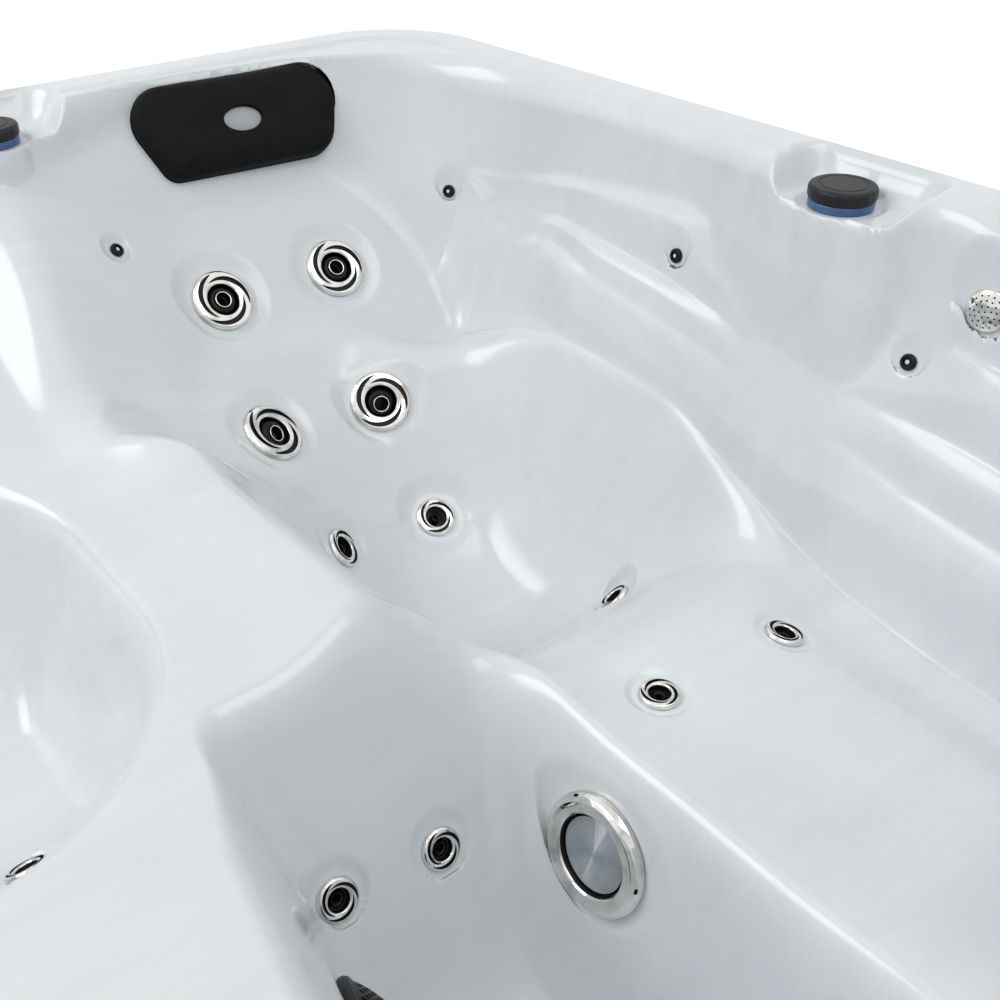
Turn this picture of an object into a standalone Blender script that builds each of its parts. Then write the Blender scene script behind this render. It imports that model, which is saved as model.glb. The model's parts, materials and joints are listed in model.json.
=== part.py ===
"""Hot tub: a vacuum-formed acrylic shell in a panelled cabinet.

The shell holds a lounger along the right wall, two bucket seats, a foot well,
swirl jets, two diverter valves, a headrest, a main light and small lamp pins.
Metres, +Z up. The origin is at the middle of the base, the lounger's backrest
is on the +Y side and the wall beside the lounger on the +X side.
"""

import math

import bmesh
import bpy
import numpy as np
from mathutils import Matrix, Vector
from mathutils.geometry import delaunay_2d_cdt

# Driving sizes of the whole tub
TUB_WIDTH = 2.10
HALF = TUB_WIDTH / 2
HEIGHT = 0.92
FLOOR_HEIGHT = 0.12
WELL_DEPTH = HEIGHT - FLOOR_HEIGHT
SHELL_THICKNESS = 0.008
STEEP_THICKNESS = 0.055
GAP = 0.0003
MERGE_DISTANCE = 0.00002
HALVINGS = 40

# Rim of the shell
LIP_CORNER = 0.20
LIP_WIDTH = 0.09
LIP_BAND = 0.075
LIP_STEP = 0.004
LIP_ROLL = 0.020
SKIRT_DEPTH = 0.085
BASIN_CORNER = 0.36
WALL_ROLL = 0.045
SEAT_ROLL = 0.05

# Slopes, as rise over run, and soft radii where two surfaces meet
WALL_SLOPE = 5.2
LEDGE_WALL_SLOPE = 10.0
LEDGE_SLOPE = 0.45
SEAT_WALL_SLOPE = 6.0
BOWL_SLOPE = 2.6
CORNER_BOWL_SLOPE = 2.2
LOUNGER_WALL_SLOPE = 2.6
WELL_FAR_SLOPE = 1.95
WELL_SIDE_SLOPE = 4.6
WELL_LEFT_SLOPE = 3.6
WELL_NEAR_SLOPE = 3.6
SHELF_SLOPE = 1.6
BLEND_FINE = 0.02
BLEND_SMALL = 0.035
BLEND_SOFT = 0.05
BLEND_BROAD = 0.10
BLEND_CORNER = 0.26
BLEND_ROLL = 0.13
BLEND_SIDES = 0.13

# Depths below the lip
SEAT_RIM_DEPTH = 0.375
BOWL_RIM_DEPTH = 0.365
CREST_DEPTH = 0.445
WELL_RIM_DEPTH = 0.40
CORNER_SEAT_DEPTH = 0.60
SHELF_DEPTH = 0.048
LEDGE_WIDTH = 0.028
LEDGE_BLEND = 0.065
LEDGE_ROLL_BLEND = 0.055

# Grid that the shell is formed from, and the share of its faces that stays
SHELL_CELLS = 132
SHELL_KEEP_SHARE = 0.0252

# Stations along Y, as shares of the half side, and depths, as shares of the well
BACK_Y_SHARES = (1.0, 0.952, 0.905, 0.857, 0.819, 0.705, 0.562, 0.414, 0.286)
BACK_DEPTH_SHARES = (-0.150, -0.062, 0.025, 0.125, 0.206, 0.388, 0.612, 0.806, 0.900)
SEAT_BACK_Y_SHARES = (1.0, 0.905, 0.857, 0.762, 0.667, 0.571, 0.476, 0.381, 0.286)
SEAT_BACK_DEPTH_SHARES = (-0.125, 0.019, 0.138, 0.281, 0.356, 0.406, 0.438, 0.452, 0.462)
SHOULDER_DEPTH_SHARES = (-0.125, 0.012, 0.094, 0.175, 0.238, 0.300, 0.350, 0.395, 0.425)
LOUNGER_Y_SHARES = (1.0, 0.952, 0.905, 0.857, 0.819, 0.705, 0.562, 0.414, 0.300, 0.205,
                    0.112, 0.018, -0.080, -0.180, -0.333, -0.571, -0.781)
LOUNGER_DEPTH_SHARES = (-0.150, -0.062, 0.025, 0.125, 0.206, 0.388, 0.612, 0.806, 0.900, 0.919,
                        0.875, 0.762, 0.650, 0.594, 0.594, 0.638, 0.688)
MIDLINE_Y_SHARES = (0.952, 0.571, 0.190, -0.190, -0.571, -0.952)
MIDLINE_X_SHARES = (0.505, 0.505, 0.514, 0.543, 0.571, 0.590)
BOW_Y_SHARES = (0.952, 0.762, 0.476, 0.095, -0.190, -0.762)
BOW_SHARES = (0.0, 1.0, 1.2, 0.8, -0.2, -0.2)
LEFT_Y_SHARES = (0.952, 0.714, 0.476, 0.357, 0.297, 0.069, -0.038, -0.114, -0.276, -0.410,
                 -0.517, -0.677)
LEFT_X_SHARES = (0.245, 0.180, 0.190, 0.228, 0.216, 0.223, 0.243, 0.260, 0.235, 0.222,
                 0.229, 0.276)
LEFT_SLOPE_Y_SHARES = (0.952, 0.714, 0.571, 0.430, 0.330, 0.190, -0.095, -0.381)
LEFT_SLOPE_SHARES = (0.3, 0.35, 0.45, 0.9, 1.6, 1.9, 1.4, 0.8)
RIGHT_Y_SHARES = (0.952, 0.714, 0.571, 0.476, 0.333, 0.095, -0.190, -0.952)
RIGHT_X_SHARES = (0.876, 0.819, 0.733, 0.762, 0.786, 0.795, 0.810, 0.829)
BOWL_Y_SHARES = (0.590, 0.429, 0.286, 0.143, 0.048, -0.076, -0.286)
BOWL_DEPTH_SHARES = (0.450, 0.650, 0.769, 0.775, 0.712, 0.575, 0.475)
LEDGE_Y_SHARES = (0.714, 0.590, 0.429, 0.286, 0.143, -0.048, -0.257, -0.476, -0.952)
LEDGE_DEPTH_SHARES = (0.600, 0.550, 0.462, 0.438, 0.444, 0.550, 0.650, 0.681, 0.700)
PLATEAU_Y_SHARES = (0.952, 0.190, -0.095, -0.476)
PLATEAU_DEPTH_SHARES = (0.456, 0.469, 0.488, 0.494)
CREST_Y_SHARES = (0.476, 0.286, 0.095, -0.143, -0.305, -0.952)
CREST_DEPTH_SHARES = (0.430, 0.450, 0.470, 0.540, 0.575, 0.580)


def smooth_min(a, b, soft):
    h = np.clip(0.5 + 0.5 * (b - a) / soft, 0, 1)
    return b + (a - b) * h - soft * h * (1 - h)


def smooth_max(a, b, soft):
    return -smooth_min(-a, -b, soft)


def ramp(value, low, high):
    t = np.clip((value - low) / (high - low), 0, 1)
    return t * t * (3 - 2 * t)


def inside_box(x, y, middle_x, middle_y, half_x, half_y, corner):
    """Distance inside a rectangle with round corners, negative outside it."""
    qx = np.abs(x - middle_x) - (half_x - corner)
    qy = np.abs(y - middle_y) - (half_y - corner)
    outside = np.hypot(np.maximum(qx, 0), np.maximum(qy, 0))
    return corner - outside - np.minimum(np.maximum(qx, qy), 0)


def rolled_edge(inside, radius, slope):
    """Depth of a sloping wall whose top edge is rounded."""
    angle = math.atan(slope) if np.isscalar(slope) else np.arctan(slope)
    tangent = radius * np.tan(angle / 2)
    u = np.clip(inside + tangent, 0, radius * np.sin(angle))
    arc = radius - np.sqrt(np.maximum(radius * radius - u * u, 0))
    return np.where(inside > tangent * np.cos(angle), slope * inside, arc)


def through(value, station_shares, value_shares, station_size, value_size=1.0):
    """Smooth curve through stations: monotone cubic pieces, held at both ends."""
    stations = np.array(station_shares) * station_size
    values = np.array(value_shares) * value_size
    order = np.argsort(stations)
    stations = stations[order]
    values = values[order]
    rates = np.diff(values) / np.diff(stations)
    slopes = np.zeros_like(values)
    same_way = rates[:-1] * rates[1:] > 0
    total = np.where(same_way, rates[:-1] + rates[1:], 1.0)
    slopes[1:-1] = np.where(same_way, 2 * rates[:-1] * rates[1:] / total, 0)
    slopes[0] = rates[0]
    slopes[-1] = rates[-1]
    i = np.clip(np.searchsorted(stations, value) - 1, 0, len(stations) - 2)
    width = stations[i + 1] - stations[i]
    t = np.clip((value - stations[i]) / width, 0, 1)
    start = values[i] * (1 + 2 * t) * (1 - t) ** 2 + slopes[i] * width * t * (1 - t) ** 2
    end = values[i + 1] * t * t * (3 - 2 * t) + slopes[i + 1] * width * t * t * (t - 1)
    return start + end


def along(y, y_shares, depth_shares):
    return through(y, y_shares, depth_shares, HALF, WELL_DEPTH)


def lounger_depth(x, y):
    """The lounger: reclined back, hip bowl, knee hump and leg run along the right wall."""
    middle = through(y, MIDLINE_Y_SHARES, MIDLINE_X_SHARES, HALF, HALF)
    bow = through(y, BOW_Y_SHARES, BOW_SHARES, HALF) / HALF
    floor = along(y, LOUNGER_Y_SHARES, LOUNGER_DEPTH_SHARES)
    floor = floor - bow * np.clip(np.abs(x - middle) - BLEND_FINE, 0, HALF) ** 2
    left_edge = through(y, LEFT_Y_SHARES, LEFT_X_SHARES, HALF, HALF)
    left_slope = through(y, LEFT_SLOPE_Y_SHARES, LEFT_SLOPE_SHARES, HALF)
    right_edge = through(y, RIGHT_Y_SHARES, RIGHT_X_SHARES, HALF, HALF)
    left = SEAT_RIM_DEPTH + left_slope * (x - left_edge)
    beside_back = ramp(y, BACK_SOFT_START_Y, BACK_SOFT_Y)
    right_slope = LOUNGER_WALL_SLOPE * (1 - BACK_SIDE_SHARE * beside_back)
    right = SEAT_RIM_DEPTH + right_slope * (right_edge - x)
    sides = smooth_min(left, right, BLEND_SOFT)
    return smooth_min(floor, sides, BLEND_SIDES)


# Bucket seat beside the lounger
BOWL_X = -0.365
BOWL_Y = 0.25
BOWL_HALF_X = 0.355
BOWL_HALF_Y = 0.375
BOWL_CORNER = 0.30
BOWL_DISH_SHARE = 0.26


def bowl_depth(x, y):
    inside = inside_box(x, y, BOWL_X, BOWL_Y, BOWL_HALF_X, BOWL_HALF_Y, BOWL_CORNER)
    floor = along(y, BOWL_Y_SHARES, BOWL_DEPTH_SHARES)
    floor = floor - BOWL_DISH_SHARE / HALF * (x - BOWL_X) ** 2
    return smooth_min(BOWL_RIM_DEPTH + BOWL_SLOPE * inside, floor, BLEND_BROAD)


# Bucket seat in the near left corner
CORNER_SEAT_X = -0.50
CORNER_SEAT_Y = -0.60
CORNER_SEAT_HALF_X = 0.29
CORNER_SEAT_HALF_Y = 0.26
CORNER_SEAT_CORNER = 0.20
CORNER_DISH_SHARE = 0.42


def corner_seat_depth(x, y):
    inside = inside_box(x, y, CORNER_SEAT_X, CORNER_SEAT_Y, CORNER_SEAT_HALF_X,
                        CORNER_SEAT_HALF_Y, CORNER_SEAT_CORNER)
    away = (x - CORNER_SEAT_X) ** 2 + (y - CORNER_SEAT_Y) ** 2
    floor = CORNER_SEAT_DEPTH - CORNER_DISH_SHARE / HALF * away
    return smooth_min(BOWL_RIM_DEPTH + CORNER_BOWL_SLOPE * inside, floor, BLEND_BROAD)


# Foot well: its far edge, right edge, left edge and near edge at the seats' level
WELL_FAR_Y = -0.075
WELL_RIGHT_X = 0.325
WELL_LEFT_X = -0.02
WELL_LEFT_TURN = 0.19
WELL_NEAR_Y = -0.78
WELL_SIDE_BLEND = 0.12


def well_depth(x, y):
    far = WELL_RIM_DEPTH + WELL_FAR_SLOPE * (WELL_FAR_Y - y)
    right = CREST_DEPTH + WELL_SIDE_SLOPE * (WELL_RIGHT_X - x)
    left = WELL_RIM_DEPTH + WELL_LEFT_SLOPE * (x - WELL_LEFT_X - WELL_LEFT_TURN * y)
    near = WELL_RIM_DEPTH + WELL_NEAR_SLOPE * (y - WELL_NEAR_Y)
    walls = smooth_min(far, right, BLEND_CORNER)
    walls = smooth_min(walls, left, WELL_SIDE_BLEND)
    walls = smooth_min(walls, near, WELL_SIDE_BLEND)
    return smooth_min(walls, WELL_DEPTH, BLEND_BROAD)


# Where the two seat backs and the shoulder between them meet, along X
SHOULDER_LOW_X = 0.04
SHOULDER_X = 0.18
SHOULDER_HIGH_X = 0.44
PLATEAU_EDGE_X = 0.12
CREST_X = 0.36
LEDGE_START_X = 0.60
LEDGE_X = 0.78
RIGHT_WALL_START_X = 0.62
RIGHT_WALL_X = 0.80
CORNER_SOFT_X = 0.35
CORNER_SOFT_Y = 0.60
CORNER_START_Y = 0.35
CORNER_END_X = 0.70
CORNER_SOFT = 0.22

# Where the well's rolled rim widens, and where the lounger's back meets its sides softly
WELL_ROLL_START_X = 0.12
WELL_ROLL_X = 0.28
WELL_ROLL_START_Y = -0.10
WELL_ROLL_Y = -0.25
BACK_SOFT_START_Y = 0.36
BACK_SOFT_Y = 0.62
BACK_SIDE_SHARE = 0.72
WALL_FOOT_BLEND = 0.06


def backs_depth(x, y):
    """Slope of the seat backs on the far wall, down to the seats' rims."""
    seat = along(y, SEAT_BACK_Y_SHARES, SEAT_BACK_DEPTH_SHARES)
    shoulder = along(y, SEAT_BACK_Y_SHARES, SHOULDER_DEPTH_SHARES)
    lounger = along(y, BACK_Y_SHARES, BACK_DEPTH_SHARES)
    to_shoulder = ramp(x, SHOULDER_LOW_X, SHOULDER_X)
    to_lounger = ramp(x, SHOULDER_X, SHOULDER_HIGH_X)
    left = seat * (1 - to_shoulder) + shoulder * to_shoulder
    return left * (1 - to_lounger) + lounger * to_lounger


def plateau_depth(x, y):
    """Level between the hollows: armrests, the crest beside the leg run, the wall's foot."""
    plain = along(y, PLATEAU_Y_SHARES, PLATEAU_DEPTH_SHARES)
    crest = along(y, CREST_Y_SHARES, CREST_DEPTH_SHARES)
    foot = along(y, LEDGE_Y_SHARES, LEDGE_DEPTH_SHARES)
    to_crest = ramp(x, PLATEAU_EDGE_X, CREST_X)
    to_foot = ramp(x, LEDGE_START_X, LEDGE_X)
    return (plain * (1 - to_crest) + crest * to_crest) * (1 - to_foot) + foot * to_foot


# Three ledges that fan out along the right wall from one point near the corner
FAN_START_Y = 0.70
FAN_LENGTH = 0.95
FAN_POWER = 0.8
FAN_Y_SHARES = (0.667, 0.381, 0.095, -0.095, -0.286, -0.571)
FAN_DEPTH_SHARES = ((0.206, 0.160, 0.130, 0.150, 0.212, 0.275),
                    (0.212, 0.244, 0.281, 0.300, 0.338, 0.375),
                    (0.219, 0.281, 0.331, 0.362, 0.431, 0.475))
FAN_OPENING_SHARE = 2.2
FAN_STEEP_SHARE = 0.5


def ledge_wall(inside, y, share):
    """Depth of the basin's wall, with the fanned ledges where share is above zero."""
    t = np.clip((FAN_START_Y - y) / FAN_LENGTH, 0, 1) ** FAN_POWER
    open_share = np.clip(t * FAN_OPENING_SHARE, 0, 1)
    width = LEDGE_WIDTH * open_share * share
    roll = LEDGE_ROLL_BLEND * open_share + MERGE_DISTANCE
    slope = WALL_SLOPE + (LEDGE_WALL_SLOPE - WALL_SLOPE) * ramp(t, 0, FAN_STEEP_SHARE) * share
    wall = rolled_edge(inside, WALL_ROLL, slope)
    edge = 0 * inside
    level = 0 * inside
    depth = None
    for depth_shares in FAN_DEPTH_SHARES:
        ledge_level = along(y, FAN_Y_SHARES, depth_shares)
        ledge_edge = edge + (ledge_level - level) / slope
        ledge = ledge_level + LEDGE_SLOPE * (inside - ledge_edge)
        step = smooth_min(wall, ledge, LEDGE_BLEND * open_share + MERGE_DISTANCE)
        depth = step if depth is None else smooth_max(depth, step, roll)
        edge = ledge_edge + width
        level = ledge_level + LEDGE_SLOPE * width
        wall = level + slope * (inside - edge)
    return smooth_max(depth, wall, roll)


# Shelves that the two diverter valves stand on: open to the basin, where the wall swells out
SHELF_CORNER = 0.045
SHELF_LEAD = 0.02
SHELF_BLEND = 0.012
RIGHT_VALVE = (0.960, -0.048)
FAR_VALVE = (0.185, 0.945)
RIGHT_SHELF = (0.920, -0.060, 0.110, 0.105)
FAR_SHELF = (0.185, 0.915, 0.115, 0.110)
SWELL = 0.042
SWELL_FLAT = 0.07
SWELL_END = 0.28
SWELL_REACH = 0.10
SWELL_START = 0.40
SWELL_FULL = 0.70

# Deck in the foot corner, which the filter drops into
DECK_X = 0.80
DECK_Y = -0.96
DECK_HALF_X = 0.34
DECK_HALF_Y = 0.175
DECK_CORNER = 0.08


def with_shelf(x, y, depth, shelf):
    """The depth with a shelf sunk into the lip."""
    inside = inside_box(x, y, *shelf, SHELF_CORNER)
    recess = smooth_min(SHELF_SLOPE * inside + SHELF_LEAD, SHELF_DEPTH, BLEND_FINE)
    return smooth_max(depth, recess, SHELF_BLEND)


def wall_swell(x, y, inside):
    """How far the top of the basin's wall swells inward in front of the two valves."""
    beside_right = 1 - ramp(np.abs(y - RIGHT_VALVE[1]), SWELL_FLAT, SWELL_END)
    beside_far = 1 - ramp(np.abs(x - FAR_VALVE[0]), SWELL_FLAT, SWELL_END)
    right = beside_right * ramp(x, SWELL_START, SWELL_FULL)
    far = beside_far * ramp(y, SWELL_START, SWELL_FULL)
    return SWELL * np.maximum(right, far) * (1 - ramp(inside, 0, SWELL_REACH))


def basin_depth(x, y):
    """Depth of the shell's upper surface below the lip at any place in plan."""
    x = np.asarray(x, float)
    y = np.asarray(y, float)
    basin_half = HALF - LIP_WIDTH
    inside = inside_box(x, y, 0, 0, basin_half, basin_half, BASIN_CORNER)
    deck = inside_box(x, y, DECK_X, DECK_Y, DECK_HALF_X, DECK_HALF_Y, DECK_CORNER)
    inside = smooth_min(inside, -deck, BLEND_SOFT)
    swollen = inside - wall_swell(x, y, inside)
    wall = ledge_wall(swollen, y, ramp(x, RIGHT_WALL_START_X, RIGHT_WALL_X))
    floor = smooth_min(plateau_depth(x, y), backs_depth(x, y), BLEND_SMALL)
    in_corner = ramp(y, CORNER_START_Y, CORNER_SOFT_Y) * ramp(x, CORNER_SOFT_X, CORNER_END_X)
    corner_soft = CORNER_SOFT * in_corner
    depth = smooth_min(wall, floor, WALL_FOOT_BLEND + corner_soft)
    limit = rolled_edge(inside, SEAT_ROLL, SEAT_WALL_SLOPE)
    within = ramp(limit, 0, SEAT_ROLL)
    lounger = smooth_min(lounger_depth(x, y), limit, BLEND_SMALL + corner_soft)
    bowl = smooth_min(bowl_depth(x, y), limit, BLEND_SMALL)
    corner_seat = smooth_min(corner_seat_depth(x, y), limit, BLEND_SMALL)
    back_soft = BLEND_SMALL + BLEND_SOFT * ramp(y, BACK_SOFT_START_Y, BACK_SOFT_Y)
    depth = smooth_max(depth, lounger, back_soft * within + MERGE_DISTANCE)
    depth = smooth_max(depth, bowl, BLEND_SOFT * within + MERGE_DISTANCE)
    depth = smooth_max(depth, corner_seat, BLEND_SOFT * within + MERGE_DISTANCE)
    rolled = np.maximum(ramp(x, WELL_ROLL_START_X, WELL_ROLL_X),
                        1 - ramp(y, WELL_ROLL_Y, WELL_ROLL_START_Y))
    depth = smooth_max(depth, well_depth(x, y), BLEND_SOFT + (BLEND_ROLL - BLEND_SOFT) * rolled)
    rim = inside_box(x, y, 0, 0, HALF, HALF, LIP_CORNER)
    band = LIP_STEP * ramp(rim, LIP_BAND - LIP_STEP, LIP_BAND + LIP_STEP)
    depth = np.maximum(depth, 0) + band
    for shelf in (RIGHT_SHELF, FAR_SHELF):
        depth = with_shelf(x, y, depth, shelf)
    return np.maximum(depth, 0)


SLOPE_STENCIL = 0.004


def basin_slope(x, y, reach=SLOPE_STENCIL):
    """Rates of change of the depth along X and Y."""
    along_x = (basin_depth(x + reach, y) - basin_depth(x - reach, y)) / (2 * reach)
    along_y = (basin_depth(x, y + reach) - basin_depth(x, y - reach)) / (2 * reach)
    return along_x, along_y


# Clearances of the fittings' seats and bores, and how far seats are let in
SEAT_CLEARANCE = 0.0012
BORE_CLEARANCE = 0.0012
SEAT_SINK = 0.004
BARREL_DROP = 0.045
GROUND_MARGIN = 0.006
GROUND_RING_SHARE = 0.5
OUTER_RING_SHARE = 0.7
OUTER_RING_SIDES = 14
LEVEL_SHARE = 0.004
SEAT_RISE = 0.02

# Radii of the fittings, of their barrels and of the dishes round them
LARGE_JET = 0.052
LARGE_BARREL = 0.034
LARGE_DISH = 0.086
MEDIUM_JET = 0.034
MEDIUM_BARREL = 0.022
MEDIUM_DISH = 0.072
SMALL_JET = 0.026
SMALL_BARREL = 0.017
SMALL_DISH = 0.044
LAMP_PIN = 0.011
LAMP_PIN_BARREL = 0.006
MAIN_LIGHT = 0.0745
LIGHT_DISH = 0.110
MAIN_LIGHT_BARREL = 0.046
NECK_JET = 0.027
NECK_BARREL = 0.016
NECK_DISH = 0.060
SUCTION = 0.085
SUCTION_DISH = 0.115
SUCTION_BARREL = 0.036
VALVE_RING = 0.045
VALVE_BARREL = 0.022
FILTER_LID = 0.088
FILTER_BORE = 0.072
FITTING_MARGIN = 0.018

# Facets round the fittings
LARGE_SIDES = 15
MEDIUM_SIDES = 16
SMALL_SIDES = 12
FINE_SIDES = 20

# Places of the jets in plan
LARGE_JETS = {"upper_right": (0.660, 0.755), "upper_left": (0.440, 0.758),
              "lower_right": (0.616, 0.570), "lower_left": (0.402, 0.562)}
MEDIUM_JETS = {"lumbar_right": (0.619, 0.425), "lumbar_left": (0.412, 0.392),
               "bucket_right": (-0.240, 0.440), "bucket_left": (-0.490, 0.440)}
SMALL_JETS = {"calf_right": (0.662, -0.269), "calf_left": (0.452, -0.250),
              "foot_right": (0.173, -0.178), "foot_left": (0.035, -0.171),
              "hip": (0.696, 0.064), "bucket_thigh": (-0.215, 0.080),
              "corner_seat": (-0.50, -0.77)}

# Places of the fittings on steep walls: the place along the wall and its depth there
LIGHT_Y = -0.312
LIGHT_DEPTH = 0.575
LIGHT_START_X = 0.10
SUCTION_Y = -0.345
SUCTION_FITTING_DEPTH = 0.60
SUCTION_START_X = 0.20
NECK_Y = -0.289
NECK_DEPTH = 0.082
NECK_START_X = 0.80
PIN_FAR_X = 0.298
PIN_FAR_DEPTH = 0.205
PIN_CORNER_Y = 0.725
PIN_CORNER_DEPTH = 0.208
PIN_MIDDLE_Y = 0.193
PIN_MIDDLE_DEPTH = 0.166
PIN_NEAR_Y = -0.215
PIN_NEAR_DEPTH = 0.195
PIN_START_SHARE = 0.57

# Headrest pillows, on the slope above the lounger and above the bucket seat
PILLOW_Y = 0.920
PILLOW_X = {"lounger": 0.586, "bucket": -0.365}
PILLOW_HALF_WIDTH = 0.212
PILLOW_HALF_HEIGHT = 0.078
PILLOW_THICKNESS = 0.046
PILLOW_CORNER = 0.06
PILLOW_REACH = 0.05
PILLOW_SOFT = 0.024
PILLOW_TAPER_SHARE = 0.19
PILLOW_POWER = 2.9
PILLOW_POINTS = 24
INSERT_HALF_WIDTH = 0.032
INSERT_HALF_HEIGHT = 0.019
INSERT_DEPTH = 0.007

# Touch panel let into the lip on the near side, and its buttons
PANEL_X = -0.36
PANEL_INSET = 0.0475
PANEL_HALF_WIDTH = 0.082
PANEL_HALF_HEIGHT = 0.023
PANEL_CORNER = 0.010
PANEL_THICKNESS = 0.007
PANEL_SOFT = 0.006
BUTTON_RADIUS = 0.0085
BUTTON_SPACING = 0.046
BUTTON_HEIGHT = 0.0052
BUTTON_TRAVEL = 0.0012
BUTTON_CLEARANCE = 0.0005

# Flat of the foot well's floor, which a cradle carries
SUPPORT_X = 0.15
SUPPORT_Y = -0.50
SUPPORT_HALF_X = 0.055
SUPPORT_HALF_Y = 0.085
SUPPORT_CORNER = 0.025
SUPPORT_SOFT = 0.035

# Filter in the foot corner's deck
FILTER_X = 0.80
FILTER_Y = -0.887


class Seat:
    """A flat round seat let into the shell: where it is, which way it faces, how wide."""

    def __init__(self, place, radius, barrel, sides, dish=None, reach=SLOPE_STENCIL):
        x, y = place
        along_x, along_y = basin_slope(x, y, reach)
        self.x = x
        self.y = y
        self.rate_x = float(along_x)
        self.rate_y = float(along_y)
        self.radius = radius
        self.barrel = barrel
        self.sides = sides
        self.flat = radius + SEAT_CLEARANCE
        self.soft = (dish or radius + FITTING_MARGIN) - self.flat - GROUND_MARGIN
        length = math.sqrt(1 + self.rate_x ** 2 + self.rate_y ** 2)
        self.depth = float(basin_depth(x, y)) + SEAT_SINK * length
        self.ground = self.depth + GAP * length
        self.normal = Vector((self.rate_x, self.rate_y, 1)) / length
        self.place = Vector((x, y, HEIGHT - self.depth))

    def frame(self):
        """Matrix whose Z is the seat's normal and whose Y points up the surface."""
        side = Vector((0, 0, 1)).cross(self.normal)
        if side.length < LEVEL_SHARE:
            side = Vector((1, 0, 0))
        side.normalize()
        up = self.normal.cross(side)
        turned = Matrix((side, up, self.normal)).transposed()
        return Matrix.Translation(self.place) @ turned.to_4x4()

    def past_edge(self, dx, dy):
        rise = self.rate_x * dx + self.rate_y * dy
        return np.sqrt(dx * dx + dy * dy + rise * rise) - self.flat - GROUND_MARGIN

    def pressed(self, x, y, depth):
        """The depth with this seat's flat ground, a gap below it, and its soft edge pressed in."""
        dx = x - self.x
        dy = y - self.y
        plane = self.ground + self.rate_x * dx + self.rate_y * dy
        weight = 1 - ramp(self.past_edge(dx, dy), 0, self.soft)
        return depth * (1 - weight) + plane * weight

    def ground_ring(self):
        """Points in plan round the flat ground, just inside its edge."""
        away = self.flat + GROUND_MARGIN * GROUND_RING_SHARE
        frame = self.frame()
        return [(frame @ Vector(point)).xy for point in circle(away, 0, self.sides)]

    def outer_ring(self):
        """Points in plan part way down the soft edge, which keep the sheet true there."""
        away = self.flat + GROUND_MARGIN + self.soft * OUTER_RING_SHARE
        frame = self.frame()
        return [(frame @ Vector(point)).xy for point in circle(away, 0, OUTER_RING_SIDES)]

    def bore_rings(self):
        """Rings of the round bar that bores the barrel's hole."""
        bore = self.barrel + BORE_CLEARANCE
        return [circle(bore, -BARREL_DROP, self.sides), circle(bore, SEAT_RISE, self.sides)]


class LongSeat(Seat):
    """A flat seat with a rectangular outline, for a pillow or a panel."""

    def __init__(self, place, half_width, half_height, corner, soft, reach=SLOPE_STENCIL):
        super().__init__(place, half_width, 0, 0, reach=reach)
        self.half_width = half_width + SEAT_CLEARANCE
        self.half_height = half_height + SEAT_CLEARANCE
        self.corner = corner
        self.soft = soft
        self.stretch = math.sqrt(1 + self.rate_y ** 2)

    def ground_ring(self):
        more = GROUND_MARGIN * GROUND_RING_SHARE
        outline = rounded_outline(self.half_width + more, self.half_height + more, self.corner, 2)
        return [Vector((self.x + x, self.y + y / self.stretch)) for x, y in outline]

    def past_edge(self, dx, dy):
        inside = inside_box(dx, dy * self.stretch, 0, 0, self.half_width, self.half_height,
                            self.corner)
        return -inside - GROUND_MARGIN


def wall_place(fixed, depth, start, end, along_x=True):
    """Place on a steep wall where the basin has the given depth, found by halving."""
    deep = start
    shallow = end
    for _ in range(HALVINGS):
        middle = (deep + shallow) / 2
        there = basin_depth(middle, fixed) if along_x else basin_depth(fixed, middle)
        if there > depth:
            deep = middle
        else:
            shallow = middle
    return (deep, fixed) if along_x else (fixed, deep)


def round_seats():
    """Every round fitting's seat, by the name of the fitting."""
    seats = {}
    for name, place in LARGE_JETS.items():
        seats["jet_" + name] = Seat(place, LARGE_JET, LARGE_BARREL, LARGE_SIDES, LARGE_DISH)
    for name, place in MEDIUM_JETS.items():
        seats["jet_" + name] = Seat(place, MEDIUM_JET, MEDIUM_BARREL, SMALL_SIDES, MEDIUM_DISH)
    for name, place in SMALL_JETS.items():
        seats["jet_" + name] = Seat(place, SMALL_JET, SMALL_BARREL, SMALL_SIDES, SMALL_DISH)
    pin_start = HALF * PIN_START_SHARE
    pins = {"far": wall_place(PIN_FAR_X, PIN_FAR_DEPTH, pin_start, HALF, along_x=False),
            "corner": wall_place(PIN_CORNER_Y, PIN_CORNER_DEPTH, pin_start, HALF),
            "middle": wall_place(PIN_MIDDLE_Y, PIN_MIDDLE_DEPTH, pin_start, HALF),
            "near": wall_place(PIN_NEAR_Y, PIN_NEAR_DEPTH, pin_start, HALF)}
    for name, place in pins.items():
        seats["lamp_pin_" + name] = Seat(place, LAMP_PIN, LAMP_PIN_BARREL, SMALL_SIDES)
    light = wall_place(LIGHT_Y, LIGHT_DEPTH, LIGHT_START_X, HALF)
    seats["light"] = Seat(light, MAIN_LIGHT, MAIN_LIGHT_BARREL, FINE_SIDES, LIGHT_DISH)
    suction = wall_place(SUCTION_Y, SUCTION_FITTING_DEPTH, SUCTION_START_X, -HALF)
    seats["suction"] = Seat(suction, SUCTION, SUCTION_BARREL, FINE_SIDES, SUCTION_DISH)
    neck = wall_place(NECK_Y, NECK_DEPTH, NECK_START_X, HALF)
    seats["neck_jet"] = Seat(neck, NECK_JET, NECK_BARREL, MEDIUM_SIDES, NECK_DISH)
    seats["valve_right"] = Seat(RIGHT_VALVE, VALVE_RING, VALVE_BARREL, FINE_SIDES)
    seats["valve_far"] = Seat(FAR_VALVE, VALVE_RING, VALVE_BARREL, FINE_SIDES)
    seats["filter"] = Seat((FILTER_X, FILTER_Y), FILTER_LID, FILTER_BORE, FINE_SIDES)
    return seats


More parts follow.
